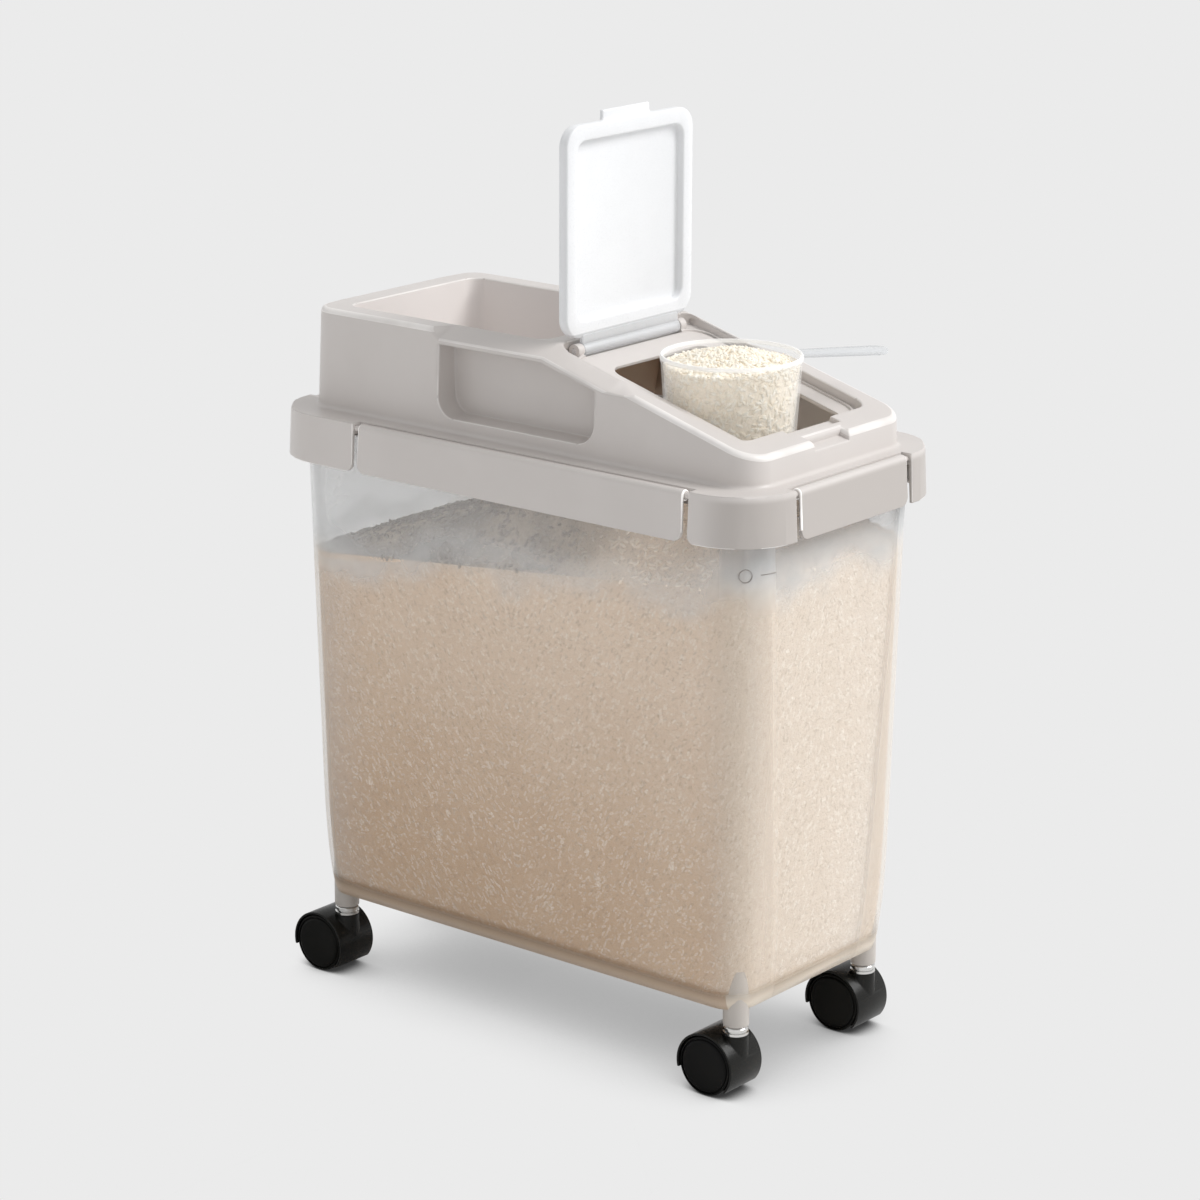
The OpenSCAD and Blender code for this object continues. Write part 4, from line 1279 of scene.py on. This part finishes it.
@dataclass
class Tub:
    """Frosted tub with its rim bead, corner bosses and level mark."""

    finishes: Finishes
    form: TubForm = field(default_factory=TubForm)
    bead_w: float = 4.0
    bead_end_w: float = 5.5
    bead_h: float = 10.0
    bead_drop: float = 3.0
    edge_r: float = 1.0
    boss_d: float = 16.0
    boss_h: float = 37.0
    mark_z: float = 331.0
    mark_r: float = 3.9
    mark_t: float = 0.45
    ring_turn: float = 47.7
    dash_turns: tuple[float, float] = (64.0, 83.0)
    dash_steps: int = 8

    def build(self) -> None:
        """Builds the tub and dresses its sleeves."""
        bm = bmesh.new()
        self._shell(bm)
        self._front_panel(bm)
        for made, name, material, nodes in ((bm, "tub_shell", self.finishes.wall, ["bin_tub"]),
                                            (self._bosses(), "tub_bosses", self.finishes.boss, []),
                                            (self._mark(), "level_mark", self.finishes.mark, [])):
            finish_piece(made, name, "bin", material, nodes, SPUN_SHARP)
        dress("caster_sleeves", self.finishes.steel)

    def _shell(self, bm: Mesh) -> None:
        """Lofts the outside up to the rim and the inside down to the floor.

        Args:
            bm: mesh to add to.
        """
        form = self.form
        rim_z = form.base_z + form.height
        bead_top = rim_z - self.bead_drop
        bead_low = bead_top - self.bead_h
        edge = self.edge_r
        outside = form.levels(form.base_z + edge, bead_low - edge)
        loops = [form.outline(bm, form.base_z, edge)]
        loops += [form.outline(bm, z, 0.0) for z in outside]
        for z, inset in ((bead_low, edge), (bead_low + edge, 0.0), (bead_top - edge, 0.0),
                         (bead_top, edge)):
            loops.append(section(bm, form.top_w / 2 + self.bead_w - inset,
                                 form.top_l / 2 + self.bead_end_w - inset,
                                 form.top_r + self.bead_w - inset, z))
        inner_floor = form.base_z + form.floor
        inside = form.levels(inner_floor + 3 * edge, rim_z - 2 * edge)
        for z, inset in ((bead_top, 0.0), (rim_z - edge, 0.0), (rim_z, edge / 2),
                         (rim_z, form.wall - edge / 2), (rim_z - edge, form.wall),
                         *((z, form.wall) for z in reversed(inside)),
                         (inner_floor, form.wall + 3 * edge)):
            loops.append(form.outline(bm, z, inset))
        loft(bm, loops)
        tidy(bm)

    def _front_panel(self, bm: Mesh) -> None:
        """Raises the middle of the front wall by a small step with slanting sides.

        Args:
            bm: mesh of the tub.
        """
        form = self.form
        low = form.base_z + 4
        high = form.base_z + form.height - self.bead_drop - self.bead_h - 2 * self.edge_r
        for side in Side:
            for x in (PANEL.half_w, PANEL.half_w + PANEL.step):
                near = [f for f in bm.faces if f.normal.y < -0.9]
                geom = [*near, *unique(e for f in near for e in f.edges),
                        *unique(v for f in near for v in f.verts)]
                bmesh.ops.bisect_plane(bm, geom=geom, plane_co=(side.value * x, 0, PANEL.at_z),
                                       plane_no=(side.value, 0, -PANEL.slope))
        raised = [v for v in bm.verts if v.co.y < 0 and low < v.co.z < high
                  and abs(v.co.x) <= PANEL.half_w - (PANEL.at_z - v.co.z) * PANEL.slope + 1e-2
                  and abs(v.co.y) > form.half_l(v.co.z) - 0.2]
        bmesh.ops.translate(bm, verts=raised, vec=(0.0, -PANEL.step, 0.0))

    def _bosses(self) -> Mesh:
        """Makes the four bosses that hold the caster stems.

        Returns:
            A mesh of the bosses.
        """
        bm = bmesh.new()
        at_z = self.form.base_z - self.form.boss_drop + self.boss_h / 2
        r = self.boss_d / 2
        for side in Side:
            for end in End:
                boss = bmesh.ops.create_cone(bm, cap_ends=True, segments=40, radius1=r, radius2=r,
                                             depth=self.boss_h)["verts"]
                bmesh.ops.translate(bm, verts=boss,
                                    vec=(side.value * CASTER_X, end.value * CASTER_Y, at_z))
        rims = [e for e in bm.edges if e.calc_face_angle(0.0) > 1.0]
        bmesh.ops.bevel(bm, geom=rims, offset=self.edge_r, offset_type="OFFSET", segments=3,
                        profile=0.5, affect="EDGES", material=-1)
        return bm

    def _on_corner(self, angle: float, out: float) -> Matrix:
        """Gives a place on the front left corner's wall, with Z pointing out of the wall.

        Args:
            angle: angle round the corner, in degrees.
            out: distance out from the wall.

        Returns:
            The place as a matrix.
        """
        z = self.mark_z
        radius = self.form.radius(z)
        centre = Vector((radius - self.form.half_w(z), radius - self.form.half_l(z), z))
        along = Vector((-math.cos(math.radians(angle)), -math.sin(math.radians(angle)), 0.0))
        lie = along.to_track_quat("Z", "Y").to_matrix().to_4x4()
        return Matrix.Translation(centre + along * (radius + out)) @ lie

    def _mark(self) -> Mesh:
        """Makes the ring and dash that mark the fill level.

        Returns:
            A mesh of the mark.
        """
        r, out = self.mark_r - self.mark_t / 2, self.mark_r + self.mark_t / 2
        ring = lathe([(r, -0.3), (r, 0.12), (out, 0.12), (out, -0.3), (r, -0.3)], 48)
        ring.transform(self._on_corner(self.ring_turn, 0.1))
        bm = bmesh.new()
        pour(ring, bm)
        start, stop = self.dash_turns
        long = math.radians(stop - start) * self.form.radius(self.mark_z) / self.dash_steps + 0.05
        for step in range(self.dash_steps):
            angle = start + (stop - start) * (step + 0.5) / self.dash_steps
            block = bmesh.ops.create_cube(bm, size=1.0)["verts"]
            bmesh.ops.scale(bm, verts=block, vec=(long, self.mark_t, 0.4))
            bmesh.ops.transform(bm, verts=block, matrix=self._on_corner(angle, 0.0))
        return bm


@dataclass
class StoredRice:
    """Rice in the tub: a packed mass with a heaped top and loose grains on it."""

    finishes: Finishes
    form: TubForm = field(default_factory=TubForm)
    back_h: float = 231.0
    front_h: float = 268.0
    inset: float = 2.75
    peak_r: float = 36.0
    peak_y: float = -100.0
    peak_drop: float = 0.6
    floor_gap: float = 0.3
    heap_start: float = 6.0
    heap_curve: float = 1.08
    heap_steps: int = 16
    cuts: tuple[int, int] = (10, 22)
    bump: float = 1.6
    bump_size: float = 23.0
    top_grains: Sprinkle = Sprinkle(3200)

    def contact(self, y: float) -> float:
        """Gives the level at which the rice meets the wall.

        Args:
            y: place along the bin.

        Returns:
            The level.
        """
        share = 0.5 - y / (2 * self.form.half_l(self.form.base_z + self.front_h))
        rise = (self.front_h - self.back_h) * min(max(share, 0.0), 1.0)
        return self.form.base_z + self.back_h + rise

    def _heap_loop(self, bm: Mesh, step: int) -> list[Edge]:
        """Adds one outline of the heap, which shrinks and rises towards the peak.

        Args:
            bm: mesh to add to.
            step: number of the outline, from the wall inwards.

        Returns:
            The edges of the outline.
        """
        form = self.form
        rim = form.base_z + (self.back_h + self.front_h) / 2
        peak_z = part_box("rice_fill")[1].z / MM - self.peak_drop
        share = step / self.heap_steps
        at_wall = (form.half_w(rim), form.half_l(rim), form.radius(rim))
        at_peak = (self.peak_r, self.peak_r, self.peak_r * 0.98)
        sizes = [(w - self.inset) * (1 - share) + p * share for w, p in zip(at_wall, at_peak)]
        loop = section(bm, *sizes, rim + step, self.cuts)
        for vert in unique(v for e in loop for v in e.verts):
            vert.co.y += self.peak_y * share
            wall_z = self.contact(vert.co.y)
            vert.co.z = wall_z + (peak_z - wall_z) * share ** self.heap_curve
            ripple = noise.noise(vert.co / self.bump_size) * self.bump - self.bump * 0.6
            vert.co.z += ripple * min(1.0, 4 * share * (1 - share) + 0.15)
        return loop

    def build(self) -> None:
        """Builds the mass and its grains."""
        bm = bmesh.new()
        form = self.form
        low = form.base_z + form.floor + self.floor_gap
        mid = form.base_z + self.back_h - self.heap_start
        loops = [form.outline(bm, z, self.inset, self.cuts) for z in form.levels(low, mid)]
        loops += [self._heap_loop(bm, step) for step in range(self.heap_steps + 1)]
        loft(bm, loops)
        tidy(bm)
        tops = [f for f in bm.faces if f.normal.z > 0.5 and f.calc_center_median().z > low + 100]
        grains = self.top_grains.run(tops)
        for face in tops:
            face.material_index = 1
        mass = finish_piece(bm, "rice_mass", "bin", self.finishes.stored,
                            ["rice_fill"])
        mass.data.materials.append(self.finishes.stored_top)
        finish_piece(grains, "rice_grains", "bin", self.finishes.stored_grain,
                     sharp=ALL_SMOOTH)


# ---- lid, seal and clips ----


@dataclass
class Lid:
    """Lid with its raised part, tray, grips and mouth, all with rounded edges."""

    finishes: Finishes
    flange_drop: float = 63.0
    top_r: float = 3.0
    rim_r: float = 1.8
    inner_r: float = 1.0
    small_r: float = 0.5
    corner_r: float = 5.0
    slope_y: float = -16.0
    tilt: float = 15.6
    near: float = 0.2
    least_feature: float = 6.0
    least_skirt: float = 4.0
    deck_half: tuple[float, float] = (70.0, 165.0)
    ledge: tuple[float, float] = (12.0, 8.0)
    skirt_t: float = 6.0
    tray_x: float = 65.0
    grip_x: float = 62.6
    grip_wall_x: float = 61.3
    inside_x: float = 66.0
    inside_y: float = -166.0
    low_z: float = field(init=False)
    top_z: float = field(init=False)
    flange_z: float = field(init=False)
    half_w: float = field(init=False)
    half_l: float = field(init=False)

    def __post_init__(self) -> None:
        """Reads the lid's levels and reach from the frame."""
        low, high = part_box("lid_shell")
        self.low_z, self.top_z = low.z / MM, high.z / MM
        self.half_w, self.half_l = high.x / MM, high.y / MM
        self.flange_z = self.top_z - self.flange_drop

    def _deck_z(self, y: float) -> float:
        """Gives the level of the lid's top face at a place along the bin."""
        return self.top_z - max(0.0, self.slope_y - y) * math.tan(math.radians(self.tilt))

    def _on_outer_top(self, edge: Edge) -> bool:
        """Takes the outer edge round the raised part's top."""
        at = middle(edge)
        return (abs(at.z - self._deck_z(at.y)) < 0.3 and at.z > self.flange_z + 4
                and further(at, *self.deck_half))

    def _on_base(self, edge: Edge) -> bool:
        """Takes the inner corner where the raised part meets the flange."""
        at = middle(edge)
        return abs(at.z - self.flange_z) < self.near and not further(
            at, self.half_w - self.ledge[0], self.half_l - self.ledge[1])

    def _on_rim(self, edge: Edge) -> bool:
        """Takes the top outer edge of the hanging rim."""
        return abs(middle(edge).z - self.flange_z) < self.near and not self._on_base(edge)

    def _on_tray(self, edge: Edge) -> bool:
        """Takes the edge round the tray's mouth."""
        at = middle(edge)
        return (abs(at.z - self.top_z) < self.near and at.y > self.slope_y
                and abs(at.x) < self.tray_x)

    def _on_features(self, edge: Edge) -> bool:
        """Takes edges of the grips, recess, mouth and notches.

        The recess keeps its sharp inner corners, which clear the flap.

        Args:
            edge: edge to judge.

        Returns:
            Whether it is rounded.
        """
        at = middle(edge)
        grip = abs(at.x) > self.grip_x or abs(abs(at.x) - self.grip_wall_x) < 0.15
        return at.z > self.flange_z + 2 and (edge.is_convex or grip) and broad(
            edge, self.least_feature)

    def _on_skirt(self, edge: Edge) -> bool:
        """Takes lower edges and ends of the hanging rim."""
        at = middle(edge)
        return (at.z < self.flange_z - 1 and broad(edge, self.least_skirt)
                and further(at, self.half_w - self.skirt_t, self.half_l - self.skirt_t))

    def _on_corner(self, edge: Edge) -> bool:
        """Takes lower corners of the hanging rim's parts, across their thickness."""
        low = all(abs(v.co.z - self.low_z) < self.near for v in edge.verts)
        return low and edge.calc_length() < 3.0 and all(
            f.normal.z < -0.9 or abs(f.normal.z) < 0.2 for f in edge.link_faces)

    def _is_inside(self, face: Face) -> bool:
        """Tells whether a face is seen only through the mouth.

        Args:
            face: face to judge.

        Returns:
            Whether it takes the shaded finish.
        """
        at = face.calc_center_median()
        beside = abs(at.x) < self.inside_x and self.inside_y < at.y < 0
        under = self.flange_z - 3 < at.z < self._deck_z(at.y) - 10
        return beside and under and face.normal.z < 0.5

    def build(self) -> None:
        """Builds the lid and dresses its seal and pin."""
        bm = node_copy("lid_shell")
        for job in (EdgeRound(self.corner_r, self._on_corner, 6, 60.0, clamp=True, light=0.0),
                    EdgeRound(self.top_r, self._on_outer_top, light=0.7),
                    EdgeRound(self.top_r, self._on_base, clamp=True, light=0.0),
                    EdgeRound(self.rim_r, self._on_rim, clamp=True),
                    EdgeRound(self.inner_r, self._on_tray, light=0.6),
                    EdgeRound(self.inner_r, self._on_features, light=0.6),
                    EdgeRound(self.small_r, self._on_skirt)):
            log.info("lid: %d chains rounded to %.1f mm (%s)", job.run(bm), job.radius,
                     job.takes.__name__)
        tidy(bm, 0.01)
        for face in bm.faces:
            face.material_index = int(self._is_inside(face))
        piece = finish_piece(bm, "lid_moulding", "lid", self.finishes.lid,
                             ["lid_shell"])
        piece.data.materials.append(self.finishes.inside)
        even_shading(piece)
        dress("lid_seal", self.finishes.seal)
        dress("flap_hinge_pin", self.finishes.steel)


@dataclass
class Clips:
    """The four hinged clips, with rounded edges."""

    finishes: Finishes
    radius: float = 0.9
    least: float = 3.0

    def build(self) -> None:
        """Builds the clips."""
        for name in ("left", "right", "front", "rear"):
            node = f"clip_{name}"
            bm = node_copy(node)
            EdgeRound(self.radius, lambda e: broad(e, self.least), 2).run(bm)
            even_shading(finish_piece(bm, f"clip_plate_{name}", node,
                                      self.finishes.clip, [node]))


# ---- flap ----


@dataclass
class Flap:
    """Milky flap: a thin panel in a raised round-edged frame, with a hinge leaf and a pull tab."""

    finishes: Finishes
    radius: float = 1.2
    least: float = 3.0
    leaf_top: float = 456.0

    def _on_edges(self, edge: Edge) -> bool:
        """Takes all but the leaf's inner corners, which clear the lid when the flap is shut."""
        return (edge.is_convex or middle(edge).z > self.leaf_top) and broad(edge, self.least)

    def build(self) -> None:
        """Builds the flap."""
        bm = node_copy("flap")
        EdgeRound(self.radius, self._on_edges).run(bm)
        finish_piece(bm, "flap_moulding", "flap", self.finishes.flap, ["flap"])


# ---- scoop ----


@dataclass
class Scoop:
    """Clear cup with a rolled rim and a flat handle, heaped with rice."""

    finishes: Finishes
    rim_d: float = 86.0
    base_d: float = 76.0
    height: float = 75.0
    wall: float = 1.6
    centre_y: float = -100.0
    handle_l: float = 54.0
    handle_w: float = 19.0
    root_w: float = 15.0
    root_in: float = 0.3
    handle_t: float = 3.0
    handle_edge: float = 0.4
    dish_in: float = 1.6
    dish_deep: float = 0.7
    handle_turn: float = -38.5
    rice_drop: float = 7.0
    heap: float = 3.0
    heap_curve: float = 1.6
    bump: float = 1.3
    bump_size: float = 9.0
    gap: float = 0.2
    top_in: float = 0.9
    foot_in: float = 1.9
    dome_grains: Sprinkle = Sprinkle(1500, length=4.8, width=2.4, sink=0.3, tilt=0.4, spun=True)
    side_grains: Sprinkle = Sprinkle(1500, length=4.8, width=2.2, sink=0.42, tilt=0.05,
                                     seed=SEED + 1, spun=True)

    def build(self) -> None:
        """Builds the cup, the handle and the rice."""
        place = Vector((0.0, self.centre_y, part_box("scoop")[0].z / MM))
        self._cup(place)
        self._handle(place)
        self._rice(place)

    def _cup(self, place: Vector) -> None:
        """Spins the cup.

        Args:
            place: middle of the scoop's foot.
        """
        r, b, t, h = self.rim_d / 2, self.base_d / 2, self.wall, self.height
        outside = [(0, 0.6), (b - 4, 0.6), (b - 3, 0), (b - 1.6, 0), (b - 0.4, 0.7), (b, 2),
                   (r - 0.55, h - 4.2), (r - 0.1, h - 3.8), (r, h - 3.0), (r, h - 0.6),
                   (r - 0.5, h)]
        inside = [(r - t + 0.3, h), (r - t, h - 0.5), (b - t + 0.3, t + 4), (b - t - 1, t + 1.6),
                  (b - t - 3, t + 1), (0, t + 1)]
        bm = lathe(outside + inside, 96)
        move(bm, place)
        finish_piece(bm, "scoop_cup", "scoop", self.finishes.scoop, ["scoop"],
                     SPUN_SHARP)

    def _handle(self, place: Vector) -> None:
        """Gives a flat outline with a round end its thickness, a shallow dish and round edges.

        Args:
            place: middle of the scoop's foot.
        """
        root_x = self.rim_d / 2 - self.root_in
        bm = bmesh.new()
        for vert in bmesh.ops.create_grid(bm, x_segments=1, y_segments=1, size=1.0)["verts"]:
            far = vert.co.x > 0
            width = self.handle_w if far else self.root_w
            vert.co = Vector((self.rim_d / 2 + self.handle_l if far else root_x,
                              math.copysign(width / 2, vert.co.y), self.height))
        tips = [v for v in bm.verts if v.co.x > root_x + 1]
        bmesh.ops.bevel(bm, geom=tips, offset=self.handle_w / 2 - 0.3, offset_type="OFFSET",
                        segments=10, profile=0.5, affect="VERTICES", material=-1)
        dish = bm.faces[:]
        bmesh.ops.inset_region(bm, faces=dish, thickness=self.dish_in, depth=0.0)
        bmesh.ops.translate(bm, verts=unique(v for f in dish for v in f.verts),
                            vec=(0, 0, -self.dish_deep))
        bmesh.ops.solidify(bm, geom=bm.faces[:], thickness=self.handle_t - self.dish_deep)
        tidy(bm)
        low = min(v.co.z for v in bm.verts)
        move(bm, (0, 0, max(0.0, self.height - self.handle_t - low)))
        EdgeRound(self.handle_edge, lambda e: True, 2).run(bm)
        turn(bm, math.radians(self.handle_turn), "Z")
        move(bm, place)
        finish_piece(bm, "scoop_handle", "scoop", self.finishes.handle)

    def _rice(self, place: Vector) -> None:
        """Spins the heaped rice and strews grains over it.

        Args:
            place: middle of the scoop's foot.
        """
        top_r = self.rim_d / 2 - self.wall - self.gap - self.top_in
        low_r = self.base_d / 2 - self.wall - self.gap - self.foot_in
        low = self.wall + 1 + self.gap
        edge = self.height - self.rice_drop
        crown = self.heap + self.rice_drop - 1.0
        arc = [math.cos(math.radians(a)) for a in range(0, 90, 10)]
        dome = [(top_r * c, edge + crown * (1 - c ** self.heap_curve)) for c in arc]
        bm = lathe([(0, low), (low_r, low), (top_r - 0.2, edge - 2), *dome, (0, edge + crown)], 64)
        for vert in bm.verts:
            if vert.co.z > edge + 0.5:
                vert.co.z += (noise.noise(vert.co / self.bump_size) - 0.4) * self.bump
        move(bm, place)
        bm.verts.index_update()
        tops = [f for f in bm.faces if f.normal.z > 0.3]
        sides = [f for f in bm.faces if abs(f.normal.z) <= 0.3]
        grains = self.dome_grains.run(tops)
        pour(self.side_grains.run(sides), grains)
        for made, name, material, nodes, sharp in (
                (bm, "scooped_mass", self.finishes.scooped, ["scoop_rice"], SPUN_SHARP),
                (grains, "scooped_grains", self.finishes.scooped_grain, [], ALL_SMOOTH)):
            finish_piece(made, name, "scoop", material, nodes, sharp)


# ---- casters ----


@dataclass
class Caster:
    """One swivel caster: stem, hood, axle and two wheels."""

    finishes: Finishes
    side: Side
    end: End
    wheel_d: float = 38.0
    wheel_w: float = 12.0
    web_w: float = 6.0
    side_gap: float = 0.5
    trail: float = 12.4
    axle_d: float = 6.0
    axle_gap: float = 0.05
    stem_d: float = 10.9
    core_r: float = 2.0
    collar_d: float = 15.6
    collar_h: float = 5.6
    collar_drop: float = 0.8
    hood_r: float = 0.7
    hood_least: float = 0.8

    @property
    def corner(self) -> str:
        """Name of the caster's corner."""
        return f"{self.end.name.lower()}_{self.side.name.lower()}"

    @property
    def stem(self) -> Vector:
        """Foot of the stem's axis on the floor."""
        return Vector((self.side.value * CASTER_X, self.end.value * CASTER_Y, 0.0))

    def build(self) -> None:
        """Builds the caster."""
        self._stem()
        self._hood()
        for which, side in (("outer", self.side.value), ("inner", -self.side.value)):
            self._wheel(which, side)
        dress(f"axle_{self.corner}", self.finishes.steel)

    def _stem(self) -> None:
        """Spins the stem with its banded collar."""
        node = f"stem_{self.corner}"
        low, high = (corner.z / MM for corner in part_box(f"stem_{self.corner}"))
        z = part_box(f"hood_{self.corner}")[1].z / MM - self.collar_drop
        r, c, h = self.stem_d / 2, self.collar_d / 2, self.collar_h
        bm = lathe([(0, low), (self.core_r, low), (self.core_r, z), (c - 0.6, z), (c, z + 0.5),
                    (c, z + h * 0.34), (c - 0.9, z + h * 0.42), (c - 0.9, z + h * 0.5),
                    (c - 0.2, z + h * 0.58), (c - 0.2, z + h - 0.7), (c - 0.9, z + h),
                    (r, z + h), (r, high - 1), (r - 1, high), (0, high)], 48)
        move(bm, self.stem)
        finish_piece(bm, f"stem_turned_{self.corner}", f"caster_{self.corner}",
                     self.finishes.chrome, [node])

    def _hood(self) -> None:
        """Rounds the hood's edges; clamping keeps its open side from closing."""
        node = f"hood_{self.corner}"
        bm = node_copy(node, 0.2)
        EdgeRound(self.hood_r, lambda e: broad(e, self.hood_least), 3, 28.0, clamp=True).run(bm)
        finish_piece(bm, f"hood_moulding_{self.corner}", f"caster_{self.corner}",
                     self.finishes.hood, [node], 30.0)

    def _wheel(self, which: str, side: int) -> None:
        """Spins one wheel with a dished face and a ring round it.

        Args:
            which: "outer" or "inner".
            side: which way its face points along X.
        """
        r, w = self.wheel_d / 2, self.wheel_w
        bore = self.axle_d / 2 + self.axle_gap
        bm = lathe([(bore, 0.0), (r - 0.8, 0.0), (r - 0.2, 0.3), (r, 0.9), (r, w - 2.0),
                    (r - 0.3, w - 1.2), (r - 0.9, w - 0.6), (r - 1.5, w - 0.5), (r - 1.9, w - 1.4),
                    (r - 2.3, w - 1.4), (r - 2.7, w - 0.5), (r - 3.3, w - 0.1), (r - 4.2, w),
                    (r - 6, w - 0.1), (4, w - 0.4), (0, w - 0.4), (0, w - 1.6), (bore, w - 1.6),
                    (bore, 0.0)], 72)
        turn(bm, side * math.pi / 2, "Y")
        move(bm, self.stem + Vector((side * (self.web_w / 2 + self.side_gap), self.trail, r)))
        node = f"wheel_{which}_{self.corner}"
        finish_piece(bm, f"wheel_turned_{which}_{self.corner}", node,
                     self.finishes.wheel, [node])


# ---- studio ----


@dataclass
class Studio:
    """Floor, backdrop, lamp and camera.

    The floor's two painted shades each have a reach, the share of light that is left where the
    sky is hidden, and the share of open sky past which nothing is dimmed.
    """

    grey: float = 0.831
    sky_hidden: float = 0.12
    shades: tuple[tuple[float, float, float], ...] = ((120.0, 0.45, 0.80), (26.0, 0.10, 0.7))
    ambient: float = 0.60
    sun_from: tuple[float, float, float] = (0.24, -0.41, 0.43)
    sun_power: float = 2.3
    sun_angle: float = 34.0
    floor_size: float = 40.0
    lens: float = 111.87
    azimuth: float = -50.81
    pitch: float = 16.1
    roll: float = 0.2
    eye: tuple[float, float, float] = (-1.7395, -1.4174, 0.9149)

    def build(self) -> None:
        """Builds the studio."""
        self._floor()
        self._world()
        self._sun()
        self._camera()

    def _floor(self) -> None:
        """Lays a large pale floor."""
        bm = bmesh.new()
        bmesh.ops.create_grid(bm, x_segments=4, y_segments=4, size=self.floor_size)
        mesh = as_mesh(bm, "floor")
        mesh.materials.append(self._floor_finish())
        floor = show("floor", mesh)

    def _floor_finish(self) -> bpy.types.Material:
        """Makes the floor's finish, which is matt to the light.

        It is seen as the backdrop's grey, with painted soft shade where the sky is hidden: broad
        under the bin, and dark close to the wheels.

        Returns:
            The material.
        """
        bench = Bench("studio_floor", (self.grey,) * 3, 0.9)
        bench.drive("Specular IOR Level", 0.0)
        tone: object = (self.grey,) * 3
        for reach, left, full in self.shades:
            sky = bench.add("AmbientOcclusion", {"Distance": reach * MM}, samples=24)
            light = bench.remap(sky.outputs["AO"], self.sky_hidden, full, left, 1.0)
            dim = bench.add("VectorMath", {0: tone, "Scale": light}, operation="SCALE")
            tone = dim.outputs["Vector"]
        seen = bench.add("LightPath").outputs["Is Camera Ray"]
        shown = bench.add("Emission", {"Color": tone}).outputs["Emission"]
        mix = bench.add("MixShader", {"Fac": seen, 1: bench.shader.outputs["BSDF"], 2: shown})
        bench.feed(bench.nodes["Material Output"], "Surface", mix.outputs["Shader"])
        return bench.material

    def _world(self) -> None:
        """Lights evenly from all round, and shows a pale grey where the world itself is seen."""
        world = bpy.data.worlds.new("studio")
        bpy.context.scene.world = world
        world.use_nodes = True
        nodes, links = world.node_tree.nodes, world.node_tree.links
        light = nodes["Background"]
        light.inputs["Color"].default_value = WHITE
        light.inputs["Strength"].default_value = self.ambient
        shown = nodes.new("ShaderNodeBackground")
        shown.inputs["Color"].default_value = (self.grey, self.grey, self.grey, 1.0)
        path = nodes.new("ShaderNodeLightPath")
        seen = path.outputs["Is Camera Ray"]
        for other in ("Is Glossy Ray", "Is Transmission Ray"):
            join = nodes.new("ShaderNodeMath")
            join.operation = "MAXIMUM"
            links.new(seen, join.inputs[0])
            links.new(path.outputs[other], join.inputs[1])
            seen = join.outputs["Value"]
        mix = nodes.new("ShaderNodeMixShader")
        links.new(seen, mix.inputs["Fac"])
        links.new(light.outputs["Background"], mix.inputs[1])
        links.new(shown.outputs["Background"], mix.inputs[2])
        links.new(mix.outputs["Shader"], nodes["World Output"].inputs["Surface"])

    def _sun(self) -> None:
        """Hangs one broad soft lamp in front and above."""
        lamp = bpy.data.lights.new("key_lamp", "SUN")
        lamp.energy = self.sun_power
        lamp.angle = math.radians(self.sun_angle)
        sun = show("key_lamp", lamp)
        sun.rotation_mode = "QUATERNION"
        sun.rotation_quaternion = Vector(self.sun_from).to_track_quat("Z", "Y")

    def _camera(self) -> None:
        """Places the camera."""
        lens = bpy.data.cameras.new("camera")
        lens.lens = self.lens
        lens.sensor_width = 36.0
        lens.clip_end = 100.0
        camera = show("camera", lens)
        turn_z, dip, roll = (math.radians(a) for a in (self.azimuth, self.pitch, self.roll))
        level = Vector((-math.sin(turn_z), math.cos(turn_z), 0.0))
        forward = level * math.cos(dip) - Vector((0.0, 0.0, math.sin(dip)))
        right = Vector((math.cos(turn_z), math.sin(turn_z), 0.0))
        up = right.cross(forward)
        across = right * math.cos(roll) + up * math.sin(roll)
        upright = -right * math.sin(roll) + up * math.cos(roll)
        turned = Matrix((across, upright, -forward)).transposed().to_4x4()
        camera.matrix_world = Matrix.Translation(self.eye) @ turned
        bpy.context.scene.camera = camera


def main() -> None:
    """Builds every class in order."""
    logging.basicConfig(level=logging.INFO, format="%(name)s: %(message)s")
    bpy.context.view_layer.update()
    finishes = Finishes.make()
    casters = [Caster(finishes, side, end) for end in End for side in Side]
    for part in (Tub(finishes), StoredRice(finishes), Lid(finishes), Clips(finishes),
                 Flap(finishes), Scoop(finishes), *casters, Studio()):
        part.build()
    scene = bpy.context.scene
    scene.view_settings.view_transform = "Standard"


if __name__ == "__main__":
    main()
